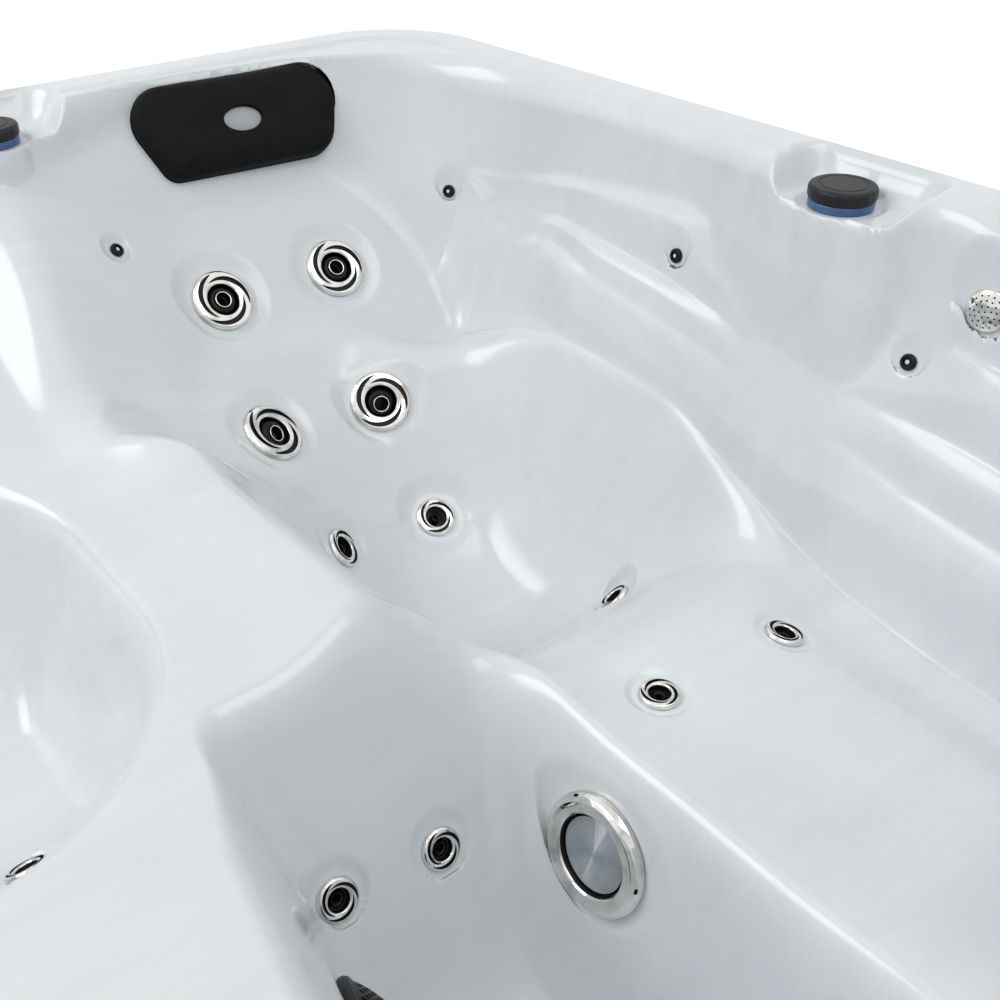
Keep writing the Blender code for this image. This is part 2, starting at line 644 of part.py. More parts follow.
def long_seats():
    """The flat places of the pillows, the panel and the foot well's floor, by name."""
    seats = {}
    for name, x in PILLOW_X.items():
        seats["pillow_" + name] = LongSeat((x, PILLOW_Y), PILLOW_HALF_WIDTH, PILLOW_HALF_HEIGHT,
                                           PILLOW_CORNER, PILLOW_SOFT, PILLOW_REACH)
    seats["well_floor"] = LongSeat((SUPPORT_X, SUPPORT_Y), SUPPORT_HALF_X, SUPPORT_HALF_Y,
                                   SUPPORT_CORNER, SUPPORT_SOFT)
    seats["panel"] = LongSeat((PANEL_X, PANEL_INSET - HALF), PANEL_HALF_WIDTH,
                              PANEL_HALF_HEIGHT, PANEL_CORNER, PANEL_SOFT)
    return seats


def shell_depth(x, y, seats):
    """Depth of the finished shell, with every fitting's seat pressed in."""
    depth = basin_depth(x, y)
    for seat in seats:
        depth = seat.pressed(x, y, depth)
    return np.maximum(depth, 0)


# Shading: edges sharper than this stay sharp; faces that bend less than this are one face
SHARP_ANGLE = math.radians(32)
FLAT_ANGLE = math.radians(0.2)


def material(name, colour, roughness, metallic=0.0, transmission=0.0):
    """A Principled material, made once and shared by the pieces that use its name."""
    found = bpy.data.materials.get(name)
    if found:
        return found
    made = bpy.data.materials.new(name)
    made.use_nodes = True
    made.diffuse_color = (*colour, 1)
    shader = made.node_tree.nodes["Principled BSDF"]
    shader.inputs["Base Color"].default_value = (*colour, 1)
    shader.inputs["Roughness"].default_value = roughness
    shader.inputs["Metallic"].default_value = metallic
    shader.inputs["Transmission Weight"].default_value = transmission
    return made


def acrylic():
    return material("pearl_acrylic", (0.80, 0.82, 0.84), 0.12)


def chrome():
    return material("polished_chrome", (0.80, 0.80, 0.79), 0.10, 1.0)


def black_plastic():
    return material("black_plastic", (0.015, 0.015, 0.017), 0.42)


def white_plastic():
    return material("white_plastic", (0.74, 0.75, 0.76), 0.40)


def pillow_foam():
    return material("pillow_foam", (0.018, 0.018, 0.020), 0.72)


def insert_plastic():
    return material("insert_grey", (0.42, 0.44, 0.46), 0.35)


def blue_acrylic():
    return material("clear_blue", (0.08, 0.22, 0.60), 0.15, 0.0, 0.6)


def lens_plastic():
    return material("clear_lens", (0.72, 0.76, 0.80), 0.10, 0.0, 0.5)


def cabinet_board():
    return material("cabinet_board", (0.105, 0.108, 0.115), 0.60)


def cabinet_trim():
    return material("cabinet_trim", (0.045, 0.046, 0.050), 0.50)


def base_plastic():
    return material("base_plastic", (0.030, 0.030, 0.032), 0.65)


def filter_fabric():
    return material("filter_fabric", (0.78, 0.79, 0.76), 0.85)


def steel():
    return material("brushed_steel", (0.56, 0.57, 0.58), 0.30, 1.0)


def motor_paint():
    return material("motor_paint", (0.050, 0.055, 0.065), 0.45)


def add_object(name, mesh, finish, matrix=None):
    """Link a mesh as one named object with its material, at the given place."""
    made = bpy.data.objects.new(name, mesh)
    bpy.context.scene.collection.objects.link(made)
    if matrix is not None:
        made.matrix_world = matrix
    if finish is not None and not mesh.materials:
        mesh.materials.append(finish)
    return made


def closed_mesh(name, shape):
    """Turn a bmesh into a mesh whose faces point out, shaded smooth but for its edges."""
    bmesh.ops.recalc_face_normals(shape, faces=shape.faces)
    mesh = bpy.data.meshes.new(name)
    shape.to_mesh(mesh)
    shape.free()
    mesh.shade_smooth()
    mesh.set_sharp_from_angle(angle=SHARP_ANGLE)
    return mesh


def add_rings(shape, rings, around=False):
    """Join rings of points into a closed solid; a ring of one point is a pole."""
    loops = [[shape.verts.new(point) for point in ring] for ring in rings]
    pairs = list(zip(loops, loops[1:]))
    if around:
        pairs.append((loops[-1], loops[0]))
    for low, high in pairs:
        count = max(len(low), len(high))
        for k in range(count):
            n = (k + 1) % count
            corners = (low[k % len(low)], low[n % len(low)],
                       high[n % len(high)], high[k % len(high)])
            around_face = tuple(dict.fromkeys(corners))
            if len(around_face) > 2:
                shape.faces.new(around_face)
    for cap in (loops[0], loops[-1]):
        if not around and len(cap) > 1:
            shape.faces.new(cap)


def circle(radius, height, sides, phase=0.0):
    if radius == 0:
        return [(0, 0, height)]
    turns = [phase + math.tau * k / sides for k in range(sides)]
    return [(radius * math.cos(turn), radius * math.sin(turn), height) for turn in turns]


def turned_mesh(name, profile, sides, around=False, phase=0.0):
    """A turned solid from (radius, height) points, along Z."""
    shape = bmesh.new()
    add_rings(shape, [circle(r, z, sides, phase) for r, z in profile], around)
    return closed_mesh(name, shape)


def prism_rings(outline, low, high):
    return [[(x, y, low) for x, y in outline], [(x, y, high) for x, y in outline]]


def rounded_outline(half_x, half_y, corner, steps=4):
    """Points round a rectangle with round corners, counter-clockwise."""
    points = []
    for quarter in range(4):
        sign_x = 1 if quarter in (0, 3) else -1
        sign_y = 1 if quarter in (0, 1) else -1
        for k in range(steps + 1):
            turn = (quarter + k / steps) * math.pi / 2
            points.append((sign_x * (half_x - corner) + corner * math.cos(turn),
                           sign_y * (half_y - corner) + corner * math.sin(turn)))
    return points


def evaluated_mesh(made):
    """The mesh of an object with its modifiers applied."""
    graph = bpy.context.evaluated_depsgraph_get()
    return bpy.data.meshes.new_from_object(made.evaluated_get(graph))


def cut_mesh(name, mesh, cutter_shape, finish):
    """The mesh less the bodies of a cutter shape."""
    cutter = add_object(name + "_cutter", closed_mesh(name + "_cutter", cutter_shape), None)
    body = add_object(name + "_body", mesh, finish)
    cutter.hide_render = True
    cutter.display_type = "WIRE"
    modifier = body.modifiers.new("cut", "BOOLEAN")
    modifier.operation = "DIFFERENCE"
    modifier.object = cutter
    result = evaluated_mesh(body)
    bpy.data.objects.remove(body)
    bpy.data.objects.remove(cutter)
    result.name = name
    result.shade_smooth()
    result.set_sharp_from_angle(angle=SHARP_ANGLE)
    return result


def axis_frame(place, axis):
    """Matrix that stands a turned piece at a place with its Z along an axis."""
    turn = Vector((0, 0, 1)).rotation_difference(Vector(axis)).to_matrix().to_4x4()
    return Matrix.Translation(Vector(place)) @ turn


# Steps of the lip's rolled edge
ROLL_STEPS = 3
CORNER_PULL_POWER = 8
CORNER_STEPS = 6
SIDE_POINTS = 8
SHEET_CLEARANCE = 0.006
EDGE_SAMPLES = 9


def outline_scale(x, y):
    """Factor that brings a point out to the lip's flat outline along its own direction."""
    half = HALF - LIP_ROLL
    low = np.zeros_like(x)
    high = 2 * half / np.maximum(np.maximum(np.abs(x), np.abs(y)), LIP_ROLL)
    for _ in range(HALVINGS):
        middle = (low + high) / 2
        inside = inside_box(x * middle, y * middle, 0, 0, half, half, LIP_CORNER - LIP_ROLL) > 0
        low = np.where(inside, middle, low)
        high = np.where(inside, high, middle)
    return low


def forming_grid(cells):
    """Points in plan of a square grid drawn in at its corners to the lip's round outline."""
    steps = np.linspace(-1, 1, cells + 1) * (HALF - LIP_ROLL)
    x, y = np.meshgrid(steps, steps, indexing="ij")
    reach = np.maximum(np.abs(x), np.abs(y)) / (HALF - LIP_ROLL)
    pull = reach ** CORNER_PULL_POWER
    scale = 1 - pull * (1 - outline_scale(x, y) * reach)
    return x * scale, y * scale


def sparse_points(cells, keep_share, seats):
    """Points and edges in plan of a sheet that is finer where the shell bends more."""
    x, y = forming_grid(cells)
    z = HEIGHT - shell_depth(x, y, seats)
    points = np.stack([x, y, z], axis=-1).reshape(-1, 3)
    index = np.arange((cells + 1) ** 2).reshape(cells + 1, cells + 1)
    quads = np.stack([index[:-1, :-1], index[1:, :-1], index[1:, 1:], index[:-1, 1:]], axis=-1)
    mesh = bpy.data.meshes.new("formed_sheet")
    mesh.from_pydata(points.tolist(), [], quads.reshape(-1, 4).tolist())
    sheet = add_object("formed_sheet", mesh, None)
    triangles = sheet.modifiers.new("triangles", "TRIANGULATE")
    triangles.quad_method = "SHORTEST_DIAGONAL"
    fewer = sheet.modifiers.new("fewer", "DECIMATE")
    fewer.ratio = keep_share
    reduced = evaluated_mesh(sheet)
    bpy.data.objects.remove(sheet)
    places = np.array([tuple(v.co.xy) for v in reduced.vertices])
    return places, [tuple(edge.vertices) for edge in reduced.edges]


def lip_outline(inset):
    """Points in plan that follow the lip's outer edge at an inset from it."""
    half = HALF - inset
    corners = rounded_outline(half, half, LIP_CORNER - inset, CORNER_STEPS)
    points = []
    for start, end in zip(corners, corners[1:] + corners[:1]):
        pieces = max(1, round(math.dist(start, end) / TUB_WIDTH * SIDE_POINTS))
        for k in range(pieces):
            points.append((start[0] + (end[0] - start[0]) * k / pieces,
                           start[1] + (end[1] - start[1]) * k / pieces))
    return points


def formed_sheet(cells, keep_share, seats):
    """Triangles of the shell's upper surface, with true rings round the seats and the lip."""
    places, edges = sparse_points(cells, keep_share, seats)
    x, y = places.T
    clear = inside_box(x, y, 0, 0, HALF, HALF, LIP_CORNER) > LIP_ROLL + SHEET_CLEARANCE
    for seat in seats:
        clear &= seat.past_edge(x - seat.x, y - seat.y) > SHEET_CLEARANCE
    number = np.cumsum(clear) - 1
    points = [Vector(place) for place in places[clear]]
    lines = []
    for a, b in edges:
        if not (clear[a] and clear[b]):
            continue
        share = np.linspace(0, 1, EDGE_SAMPLES)
        mid_x = x[a] + (x[b] - x[a]) * share
        mid_y = y[a] + (y[b] - y[a]) * share
        if all(np.all(seat.past_edge(mid_x - seat.x, mid_y - seat.y) > 0) for seat in seats):
            lines.append((int(number[a]), int(number[b])))
    loops = [[Vector(point) for point in lip_outline(LIP_ROLL)]]
    for inset in (LIP_BAND - LIP_STEP, LIP_BAND + LIP_STEP):
        loops.append([Vector(point) for point in lip_outline(inset)])
    loops += [seat.ground_ring() for seat in seats]
    loops += [seat.outer_ring() for seat in seats if seat.radius >= MAIN_LIGHT and seat.barrel]
    for loop in loops:
        first = len(points)
        points += loop
        lines += [(first + k, first + (k + 1) % len(loop)) for k in range(len(loop))]
    found = delaunay_2d_cdt(points, lines, [], 0, MERGE_DISTANCE)
    plan = np.array([tuple(point) for point in found[0]])
    faces = [tuple(face) for face in found[2]]
    return np.column_stack([plan, 0 * plan[:, 0]]), faces


def border_loop(faces):
    """Numbers of the points round the open edge of a sheet, in order."""
    following = {}
    for face in faces:
        for a, b in zip(face, face[1:] + face[:1]):
            following[(a, b)] = True
    edges = {a: b for a, b in following if (b, a) not in following}
    loop = [next(iter(edges))]
    while edges[loop[-1]] != loop[0]:
        loop.append(edges[loop[-1]])
    return loop


def rim_steps():
    """(Distance outward, drop) down the rolled lip and skirt and up their inner side."""
    turns = [math.pi / 2 * (k + 1) / ROLL_STEPS for k in range(ROLL_STEPS)]
    inner = LIP_ROLL - SHELL_THICKNESS
    outer_side = [(LIP_ROLL * math.sin(t), LIP_ROLL * (1 - math.cos(t))) for t in turns]
    inner_side = [(inner * math.sin(t), LIP_ROLL - inner * math.cos(t)) for t in reversed(turns)]
    return outer_side + [(LIP_ROLL, SKIRT_DEPTH), (inner, SKIRT_DEPTH)] + inner_side


def shell_blank(seats):
    """The moulded shell before its holes are cut."""
    places, faces = formed_sheet(SHELL_CELLS, SHELL_KEEP_SHARE, seats)
    loop = border_loop(faces)
    x, y = places[:, 0], places[:, 1]
    places[:, 2] = HEIGHT - shell_depth(x, y, seats)
    near = GROUND_MARGIN * GROUND_RING_SHARE
    along_x = shell_depth(x + near, y, seats) - shell_depth(x - near, y, seats)
    along_y = shell_depth(x, y + near, seats) - shell_depth(x, y - near, seats)
    stretch = np.sqrt(1 + (along_x ** 2 + along_y ** 2) / (2 * near) ** 2)
    drop = np.minimum(SHELL_THICKNESS * stretch, STEEP_THICKNESS)
    drop[loop] = SHELL_THICKNESS
    half = HALF - LIP_ROLL
    corner = LIP_CORNER - LIP_ROLL
    outward = []
    for i in loop:
        corner_x = max(abs(x[i]) - (half - corner), 0)
        corner_y = max(abs(y[i]) - (half - corner), 0)
        step = Vector((math.copysign(corner_x, x[i]), math.copysign(corner_y, y[i])))
        outward.append(step.normalized())
    shape = bmesh.new()
    top = [shape.verts.new(place) for place in places]
    under = [shape.verts.new((a, b, c - d)) for (a, b, c), d in zip(places, drop)]
    for face in faces:
        shape.faces.new([top[i] for i in face])
        shape.faces.new([under[i] for i in reversed(face)])
    rings = [[top[i] for i in loop]]
    for away, down in rim_steps():
        rings.append([shape.verts.new((x[i] + away * step.x, y[i] + away * step.y, HEIGHT - down))
                      for i, step in zip(loop, outward)])
    rings.append([under[i] for i in loop])
    for upper, lower in zip(rings, rings[1:]):
        for k in range(len(loop)):
            n = (k + 1) % len(loop)
            shape.faces.new((upper[n], upper[k], lower[k], lower[n]))
    bmesh.ops.dissolve_limit(shape, angle_limit=FLAT_ANGLE, verts=shape.verts, edges=shape.edges)
    bmesh.ops.triangulate(shape, faces=shape.faces)
    return closed_mesh("shell", shape)


def pillow_outline(half_width, half_height, share=1.0):
    """Round-cornered outline that is wider towards its top, as (x, y) points."""
    points = []
    for k in range(PILLOW_POINTS):
        turn = math.tau * k / PILLOW_POINTS
        power = 2 / PILLOW_POWER
        x = math.copysign(abs(math.cos(turn)) ** power, math.cos(turn))
        y = math.copysign(abs(math.sin(turn)) ** power, math.sin(turn))
        taper = 1 + PILLOW_TAPER_SHARE * (y - 1)
        points.append((share * half_width * x * taper, share * half_height * y))
    return points


def add_body(shape, rings, matrix):
    """Add a closed body to a shape, stood at a matrix."""
    before = set(shape.verts)
    add_rings(shape, rings)
    fresh = [v for v in shape.verts if v not in before]
    bmesh.ops.transform(shape, matrix=matrix, verts=fresh)


def make_shell(rounds, longs):
    blank = shell_blank(list(rounds.values()) + list(longs.values()))
    cutters = bmesh.new()
    for seat in rounds.values():
        add_body(cutters, seat.bore_rings(), seat.frame())
    mesh = cut_mesh("shell", blank, cutters, acrylic())
    shape = bmesh.new()
    shape.from_mesh(mesh)
    bmesh.ops.remove_doubles(shape, verts=shape.verts, dist=MERGE_DISTANCE)
    bmesh.ops.dissolve_limit(shape, angle_limit=FLAT_ANGLE, verts=shape.verts, edges=shape.edges)
    bmesh.ops.triangulate(shape, faces=shape.faces)
    return add_object("shell", closed_mesh("shell", shape), acrylic())


# Swirl jets: flange, rolled edge, bore, socket and the crescent slots in the face
JET_EDGE = 0.0040
JET_CROWN = 0.0085
JET_ROLL = 0.0040
JET_BORE_FLOOR = -0.040
JET_BARREL_LENGTH = 0.046
SMALL_BARREL_LENGTH = 0.034
SMALL_BORE_FLOOR = -0.012
SMALL_CROWN_SHARE = 0.78
BORE_SHARE = 0.54
SLOT_INNER_SHARE = 0.65
SLOT_OUTER_SHARE = 0.86
SLOT_WIDTH_SHARE = 0.085
SLOT_SWEEP = math.radians(130)
SLOT_START = math.radians(90)
SLOT_DEPTH = 0.0030
SLOTS = 3
SLOT_STEPS = 3

# Eyeball nozzle of the large jets
BALL_RADIUS = 0.0262
BALL_SOCKET = 0.0276
BALL_DROP = 0.012
BALL_TOP_SHARE = 0.62
BALL_FOOT_SHARE = -0.62
BALL_STEPS = 3
NOZZLE_BORE = 0.0120
NOZZLE_TUBE = 0.0140
NOZZLE_TIP = 0.0190
NOZZLE_TILT = {"lower_right": math.radians(16), "lower_left": math.radians(16)}


def slot_outline(start, radius):
    """Crescent whose middle line runs inward as it turns, as (x, y) points."""
    points = []
    for side in (1, -1):
        for k in range(SLOT_STEPS):
            t = k / SLOT_STEPS if side > 0 else 1 - k / SLOT_STEPS
            turn = start + SLOT_SWEEP * t
            middle = SLOT_OUTER_SHARE + (SLOT_INNER_SHARE - SLOT_OUTER_SHARE) * t
            away = radius * (middle + side * SLOT_WIDTH_SHARE * math.sin(math.pi * t))
            points.append((away * math.cos(turn), away * math.sin(turn)))
    return points


def jet_mesh(name, radius, barrel, length, crown, bore, floor, sides):
    """A jet's turning face with its barrel, bore and swirl slots, stood on its flange."""
    edge = JET_EDGE * crown / JET_CROWN
    profile = ((0, -length), (barrel, -length), (barrel, 0), (radius, 0), (radius, edge),
               (radius - JET_ROLL, crown), (bore, crown), (bore, floor), (0, floor))
    mesh = turned_mesh(name, profile, sides)
    cutters = bmesh.new()
    for k in range(SLOTS):
        outline = slot_outline(SLOT_START + math.tau * k / SLOTS, radius)
        add_body(cutters, prism_rings(outline, crown - SLOT_DEPTH, crown + SLOT_DEPTH),
                 Matrix.Identity(4))
    return cut_mesh(name, mesh, cutters, chrome())


def nozzle_mesh():
    """The eyeball with its outlet tube, about the ball's middle."""
    foot = BALL_RADIUS * BALL_FOOT_SHARE
    top_turn = math.asin(BALL_TOP_SHARE)
    foot_turn = math.asin(BALL_FOOT_SHARE)
    profile = [(NOZZLE_BORE, foot)]
    for k in range(BALL_STEPS + 1):
        turn = foot_turn + (top_turn - foot_turn) * k / BALL_STEPS
        profile.append((BALL_RADIUS * math.cos(turn), BALL_RADIUS * math.sin(turn)))
    profile.append((NOZZLE_TUBE, BALL_RADIUS * BALL_TOP_SHARE))
    profile.append((NOZZLE_TUBE, NOZZLE_TIP))
    profile.append((NOZZLE_BORE, NOZZLE_TIP))
    return turned_mesh("nozzle", profile, SMALL_SIDES, around=True)


def make_jets(seats):
    """Every jet's turning face, and the eyeball nozzles of the four large ones."""
    large = jet_mesh("large_jet", LARGE_JET, LARGE_BARREL, JET_BARREL_LENGTH, JET_CROWN,
                     BALL_SOCKET, JET_BORE_FLOOR, LARGE_SIDES)
    crown = JET_CROWN * SMALL_CROWN_SHARE
    medium = jet_mesh("medium_jet", MEDIUM_JET, MEDIUM_BARREL, SMALL_BARREL_LENGTH, crown,
                      MEDIUM_JET * BORE_SHARE, SMALL_BORE_FLOOR, SMALL_SIDES)
    small = jet_mesh("small_jet", SMALL_JET, SMALL_BARREL, SMALL_BARREL_LENGTH, crown,
                     SMALL_JET * BORE_SHARE, SMALL_BORE_FLOOR, SMALL_SIDES)
    nozzle = nozzle_mesh()
    for places, mesh in ((LARGE_JETS, large), (MEDIUM_JETS, medium), (SMALL_JETS, small)):
        for name in places:
            add_object("jet_face_" + name, mesh, chrome(), seats["jet_" + name].frame())
    drop = Matrix.Translation((0, 0, -BALL_DROP))
    for name in LARGE_JETS:
        tilt = drop @ Matrix.Rotation(NOZZLE_TILT.get(name, 0), 4, "X")
        add_object("nozzle_" + name, nozzle, black_plastic(),
                   seats["jet_" + name].frame() @ tilt)


# Lamp pins, main light and neck jet
PIN_HEAD = 0.004
PIN_DOME = 0.0065
PIN_LENGTH = 0.022
PIN_WINDOW = 0.0045
LIGHT_RISE = 0.016
LIGHT_INNER = 0.050
LIGHT_ROLL = 0.007
LENS_STEP = 0.003
LENS_RISE = 0.010
LENS_LENGTH = 0.030
LENS_RIBS = 1
LENS_RIB_DEPTH = 0.0015
LENS_CLEARANCE = 0.0004
NECK_RISE = 0.009
NECK_RIM = 0.005
NECK_LENGTH = 0.026
NECK_HOLE = 0.0022
NECK_HOLE_RING = 0.012
NECK_HOLES = 6
NECK_HOLE_DEPTH = 0.003
NECK_HOLE_SIDES = 6


def make_lamp_pins(seats):
    profile = ((0, -PIN_LENGTH), (LAMP_PIN_BARREL, -PIN_LENGTH), (LAMP_PIN_BARREL, 0),
               (LAMP_PIN, 0), (LAMP_PIN, PIN_HEAD), (PIN_WINDOW, PIN_DOME),
               (PIN_WINDOW, PIN_HEAD), (0, PIN_HEAD))
    mesh = turned_mesh("lamp_pin", profile, SMALL_SIDES)
    for name in ("far", "corner", "middle", "near"):
        add_object("lamp_pin_" + name, mesh, black_plastic(), seats["lamp_pin_" + name].frame())


def make_light(seats):
    """The main light: a rolled bezel ring clamps a ribbed lens whose body is in the bore."""
    frame = seats["light"].frame()
    ring = ((LIGHT_INNER, 0), (MAIN_LIGHT, 0), (MAIN_LIGHT, LIGHT_RISE - LIGHT_ROLL),
            (MAIN_LIGHT - LIGHT_ROLL, LIGHT_RISE), (LIGHT_INNER + LIGHT_ROLL, LIGHT_RISE),
            (LIGHT_INNER, LIGHT_RISE - LIGHT_ROLL))
    mesh = turned_mesh("light_bezel", ring, FINE_SIDES, around=True)
    add_object("light_bezel", mesh, chrome(), frame)
    rim = LIGHT_INNER - LENS_CLEARANCE
    profile = [(0, -LENS_LENGTH), (MAIN_LIGHT_BARREL, -LENS_LENGTH), (MAIN_LIGHT_BARREL, 0),
               (rim, 0), (rim, LENS_RISE)]
    for k in range(LENS_RIBS, 0, -1):
        away = rim * k / (LENS_RIBS + 1)
        profile.append((away + LENS_STEP, LENS_RISE))
        profile.append((away, LENS_RISE - LENS_RIB_DEPTH))
        profile.append((away - LENS_STEP, LENS_RISE))
    profile.append((0, LENS_RISE))
    add_object("light_lens", turned_mesh("light_lens", profile, FINE_SIDES), lens_plastic(),
               frame)


def make_neck_jet(seats):
    profile = ((0, -NECK_LENGTH), (NECK_BARREL, -NECK_LENGTH), (NECK_BARREL, 0), (NECK_JET, 0),
               (NECK_JET, NECK_RISE - NECK_RIM), (NECK_JET - NECK_RIM, NECK_RISE),
               (0, NECK_RISE))
    mesh = turned_mesh("neck_jet", profile, MEDIUM_SIDES)
    holes = bmesh.new()
    for k in range(NECK_HOLES):
        turn = math.tau * k / NECK_HOLES
        place = Matrix.Translation((NECK_HOLE_RING * math.cos(turn),
                                    NECK_HOLE_RING * math.sin(turn), NECK_RISE))
        rings = [circle(NECK_HOLE, -NECK_HOLE_DEPTH, NECK_HOLE_SIDES),
                 circle(NECK_HOLE, NECK_HOLE_DEPTH, NECK_HOLE_SIDES)]
        add_body(holes, rings, place)
    mesh = cut_mesh("neck_jet", mesh, holes, chrome())
    add_object("neck_jet_cap", mesh, chrome(), seats["neck_jet"].frame())


# Suction cover: a domed grille on a rim, hollow behind, with its pipe stub
GRILLE_RISE = 0.030
GRILLE_WALL = 0.004
GRILLE_EDGE = 0.008
GRILLE_HOLE = 0.0075
GRILLE_HOLE_START = 0.008
GRILLE_HOLE_SIDES = 6
GRILLE_SECTION_SHARES = (0.93, 0.72, 0.44)
GRILLE_RINGS = ((0.028, 5), (0.054, 9))
STUB_LENGTH = 0.060
STUB_WALL = 0.004


def dome_height(radius, edge, rise):
    return rise * (1 - (radius / edge) ** 2)


def make_suction_cover(seats):
    """The cover's dome follows one curve outside and inside, and holes pass through it."""
    outer = [(SUCTION * s, GRILLE_EDGE + dome_height(SUCTION * s, SUCTION, GRILLE_RISE))
             for s in GRILLE_SECTION_SHARES]
    inner = [(r - GRILLE_WALL / 2, z - GRILLE_WALL) for r, z in outer]
    stub = SUCTION_BARREL - STUB_WALL
    top = GRILLE_EDGE + GRILLE_RISE
    profile = [(stub, -STUB_LENGTH), (SUCTION_BARREL, -STUB_LENGTH), (SUCTION_BARREL, 0),
               (SUCTION, 0), (SUCTION, GRILLE_EDGE)] + outer
    profile += [(0, top)]
    hollow = [(0, top - GRILLE_WALL)] + inner[::-1]
    hollow += [(inner[0][0], GRILLE_WALL), (stub, GRILLE_WALL)]
    shape = bmesh.new()
    rings = [circle(r, z, FINE_SIDES) for r, z in profile]
    rings += [circle(r, z, FINE_SIDES) for r, z in hollow]
    add_rings(shape, rings, around=True)
    mesh = closed_mesh("suction_cover", shape)
    holes = bmesh.new()
    for away, count in GRILLE_RINGS:
        for k in range(count):
            turn = math.tau * k / count
            place = Matrix.Translation((away * math.cos(turn), away * math.sin(turn), 0))
            rings = [circle(GRILLE_HOLE, GRILLE_HOLE_START, GRILLE_HOLE_SIDES),
                     circle(GRILLE_HOLE, top + GRILLE_RISE, GRILLE_HOLE_SIDES)]
            add_body(holes, rings, place)
    mesh = cut_mesh("suction_cover", mesh, holes, black_plastic())
    add_object("suction_cover", mesh, black_plastic(), seats["suction"].frame())


# Diverter valves: a clear ring on a stem, and a cap that turns on it
RING_HEIGHT = 0.0085
RING_EDGE = 0.002
STEM_LENGTH = 0.040
SPINDLE = 0.009
SPINDLE_HEIGHT = 0.010
CAP_RADIUS = 0.048
CAP_HEIGHT = 0.024
CAP_ROLL = 0.005
CAP_FLUTE_DEPTH = 0.0016
CAP_WELL_CLEARANCE = 0.0006
CAP_DIMPLE = 0.030
CAP_DIMPLE_DEPTH = 0.0012


def make_valves(seats):
    ring = ((0, -STEM_LENGTH), (VALVE_BARREL, -STEM_LENGTH), (VALVE_BARREL, 0),
            (VALVE_RING, 0), (VALVE_RING, RING_HEIGHT - RING_EDGE),
            (VALVE_RING - RING_EDGE, RING_HEIGHT), (SPINDLE, RING_HEIGHT),
            (SPINDLE, RING_HEIGHT + SPINDLE_HEIGHT), (0, RING_HEIGHT + SPINDLE_HEIGHT))
    low = RING_HEIGHT + GAP
    top = low + CAP_HEIGHT
    well = SPINDLE + CAP_WELL_CLEARANCE
    ceiling = RING_HEIGHT + SPINDLE_HEIGHT + GAP
    cap = [(0, ceiling), (well, ceiling), (well, low), (CAP_RADIUS - CAP_FLUTE_DEPTH, low),
           (CAP_RADIUS, low + CAP_FLUTE_DEPTH), (CAP_RADIUS, top - CAP_ROLL),
           (CAP_RADIUS - CAP_ROLL, top), (CAP_DIMPLE, top),
           (CAP_DIMPLE - CAP_FLUTE_DEPTH, top - CAP_DIMPLE_DEPTH), (0, top - CAP_DIMPLE_DEPTH)]
    ring_mesh = turned_mesh("valve_ring", ring, FINE_SIDES)
    cap_mesh = turned_mesh("valve_cap", cap, FINE_SIDES)
    for name in ("right", "far"):
        frame = seats["valve_" + name].frame()
        add_object("valve_ring_" + name, ring_mesh, blue_acrylic(), frame)
        add_object("valve_cap_" + name, cap_mesh, black_plastic(), frame)


# Pillow's sections: (share of the outline, share of the thickness)
PILLOW_SECTION_SHARES = ((0.955, 0.0), (1.0, 0.20), (0.995, 0.42), (0.955, 0.66), (0.87, 0.84),
                         (0.70, 0.95), (0.45, 1.0))


def oval(half_width, half_height, points, height):
    turns = [math.tau * k / points for k in range(points)]
    return [(half_width * math.cos(t), half_height * math.sin(t), height) for t in turns]


def make_pillows(seats):
    """Crowned headrests, flat at the back, each with an oval insert in its pocket."""
    shape = bmesh.new()
    rings = []
    for share, height in PILLOW_SECTION_SHARES:
        outline = pillow_outline(PILLOW_HALF_WIDTH, PILLOW_HALF_HEIGHT, share)
        rings.append([(x, y, height * PILLOW_THICKNESS) for x, y in outline])
    crown = PILLOW_THICKNESS
    rings.append(oval(INSERT_HALF_WIDTH, INSERT_HALF_HEIGHT, PILLOW_POINTS, crown))
    rings.append(oval(INSERT_HALF_WIDTH, INSERT_HALF_HEIGHT, PILLOW_POINTS, crown - INSERT_DEPTH))
    add_rings(shape, rings)
    pillow = closed_mesh("pillow", shape)
    shape = bmesh.new()
    half_width = INSERT_HALF_WIDTH - GAP
    half_height = INSERT_HALF_HEIGHT - GAP
    low = crown - INSERT_DEPTH + GAP
    add_rings(shape, [oval(half_width, half_height, PILLOW_POINTS, low),
                      oval(half_width, half_height, PILLOW_POINTS, crown)])
    insert = closed_mesh("pillow_insert", shape)
    for name in PILLOW_X:
        frame = seats["pillow_" + name].frame()
        add_object("pillow_" + name, pillow, pillow_foam(), frame)
        add_object("pillow_insert_" + name, insert, insert_plastic(), frame)


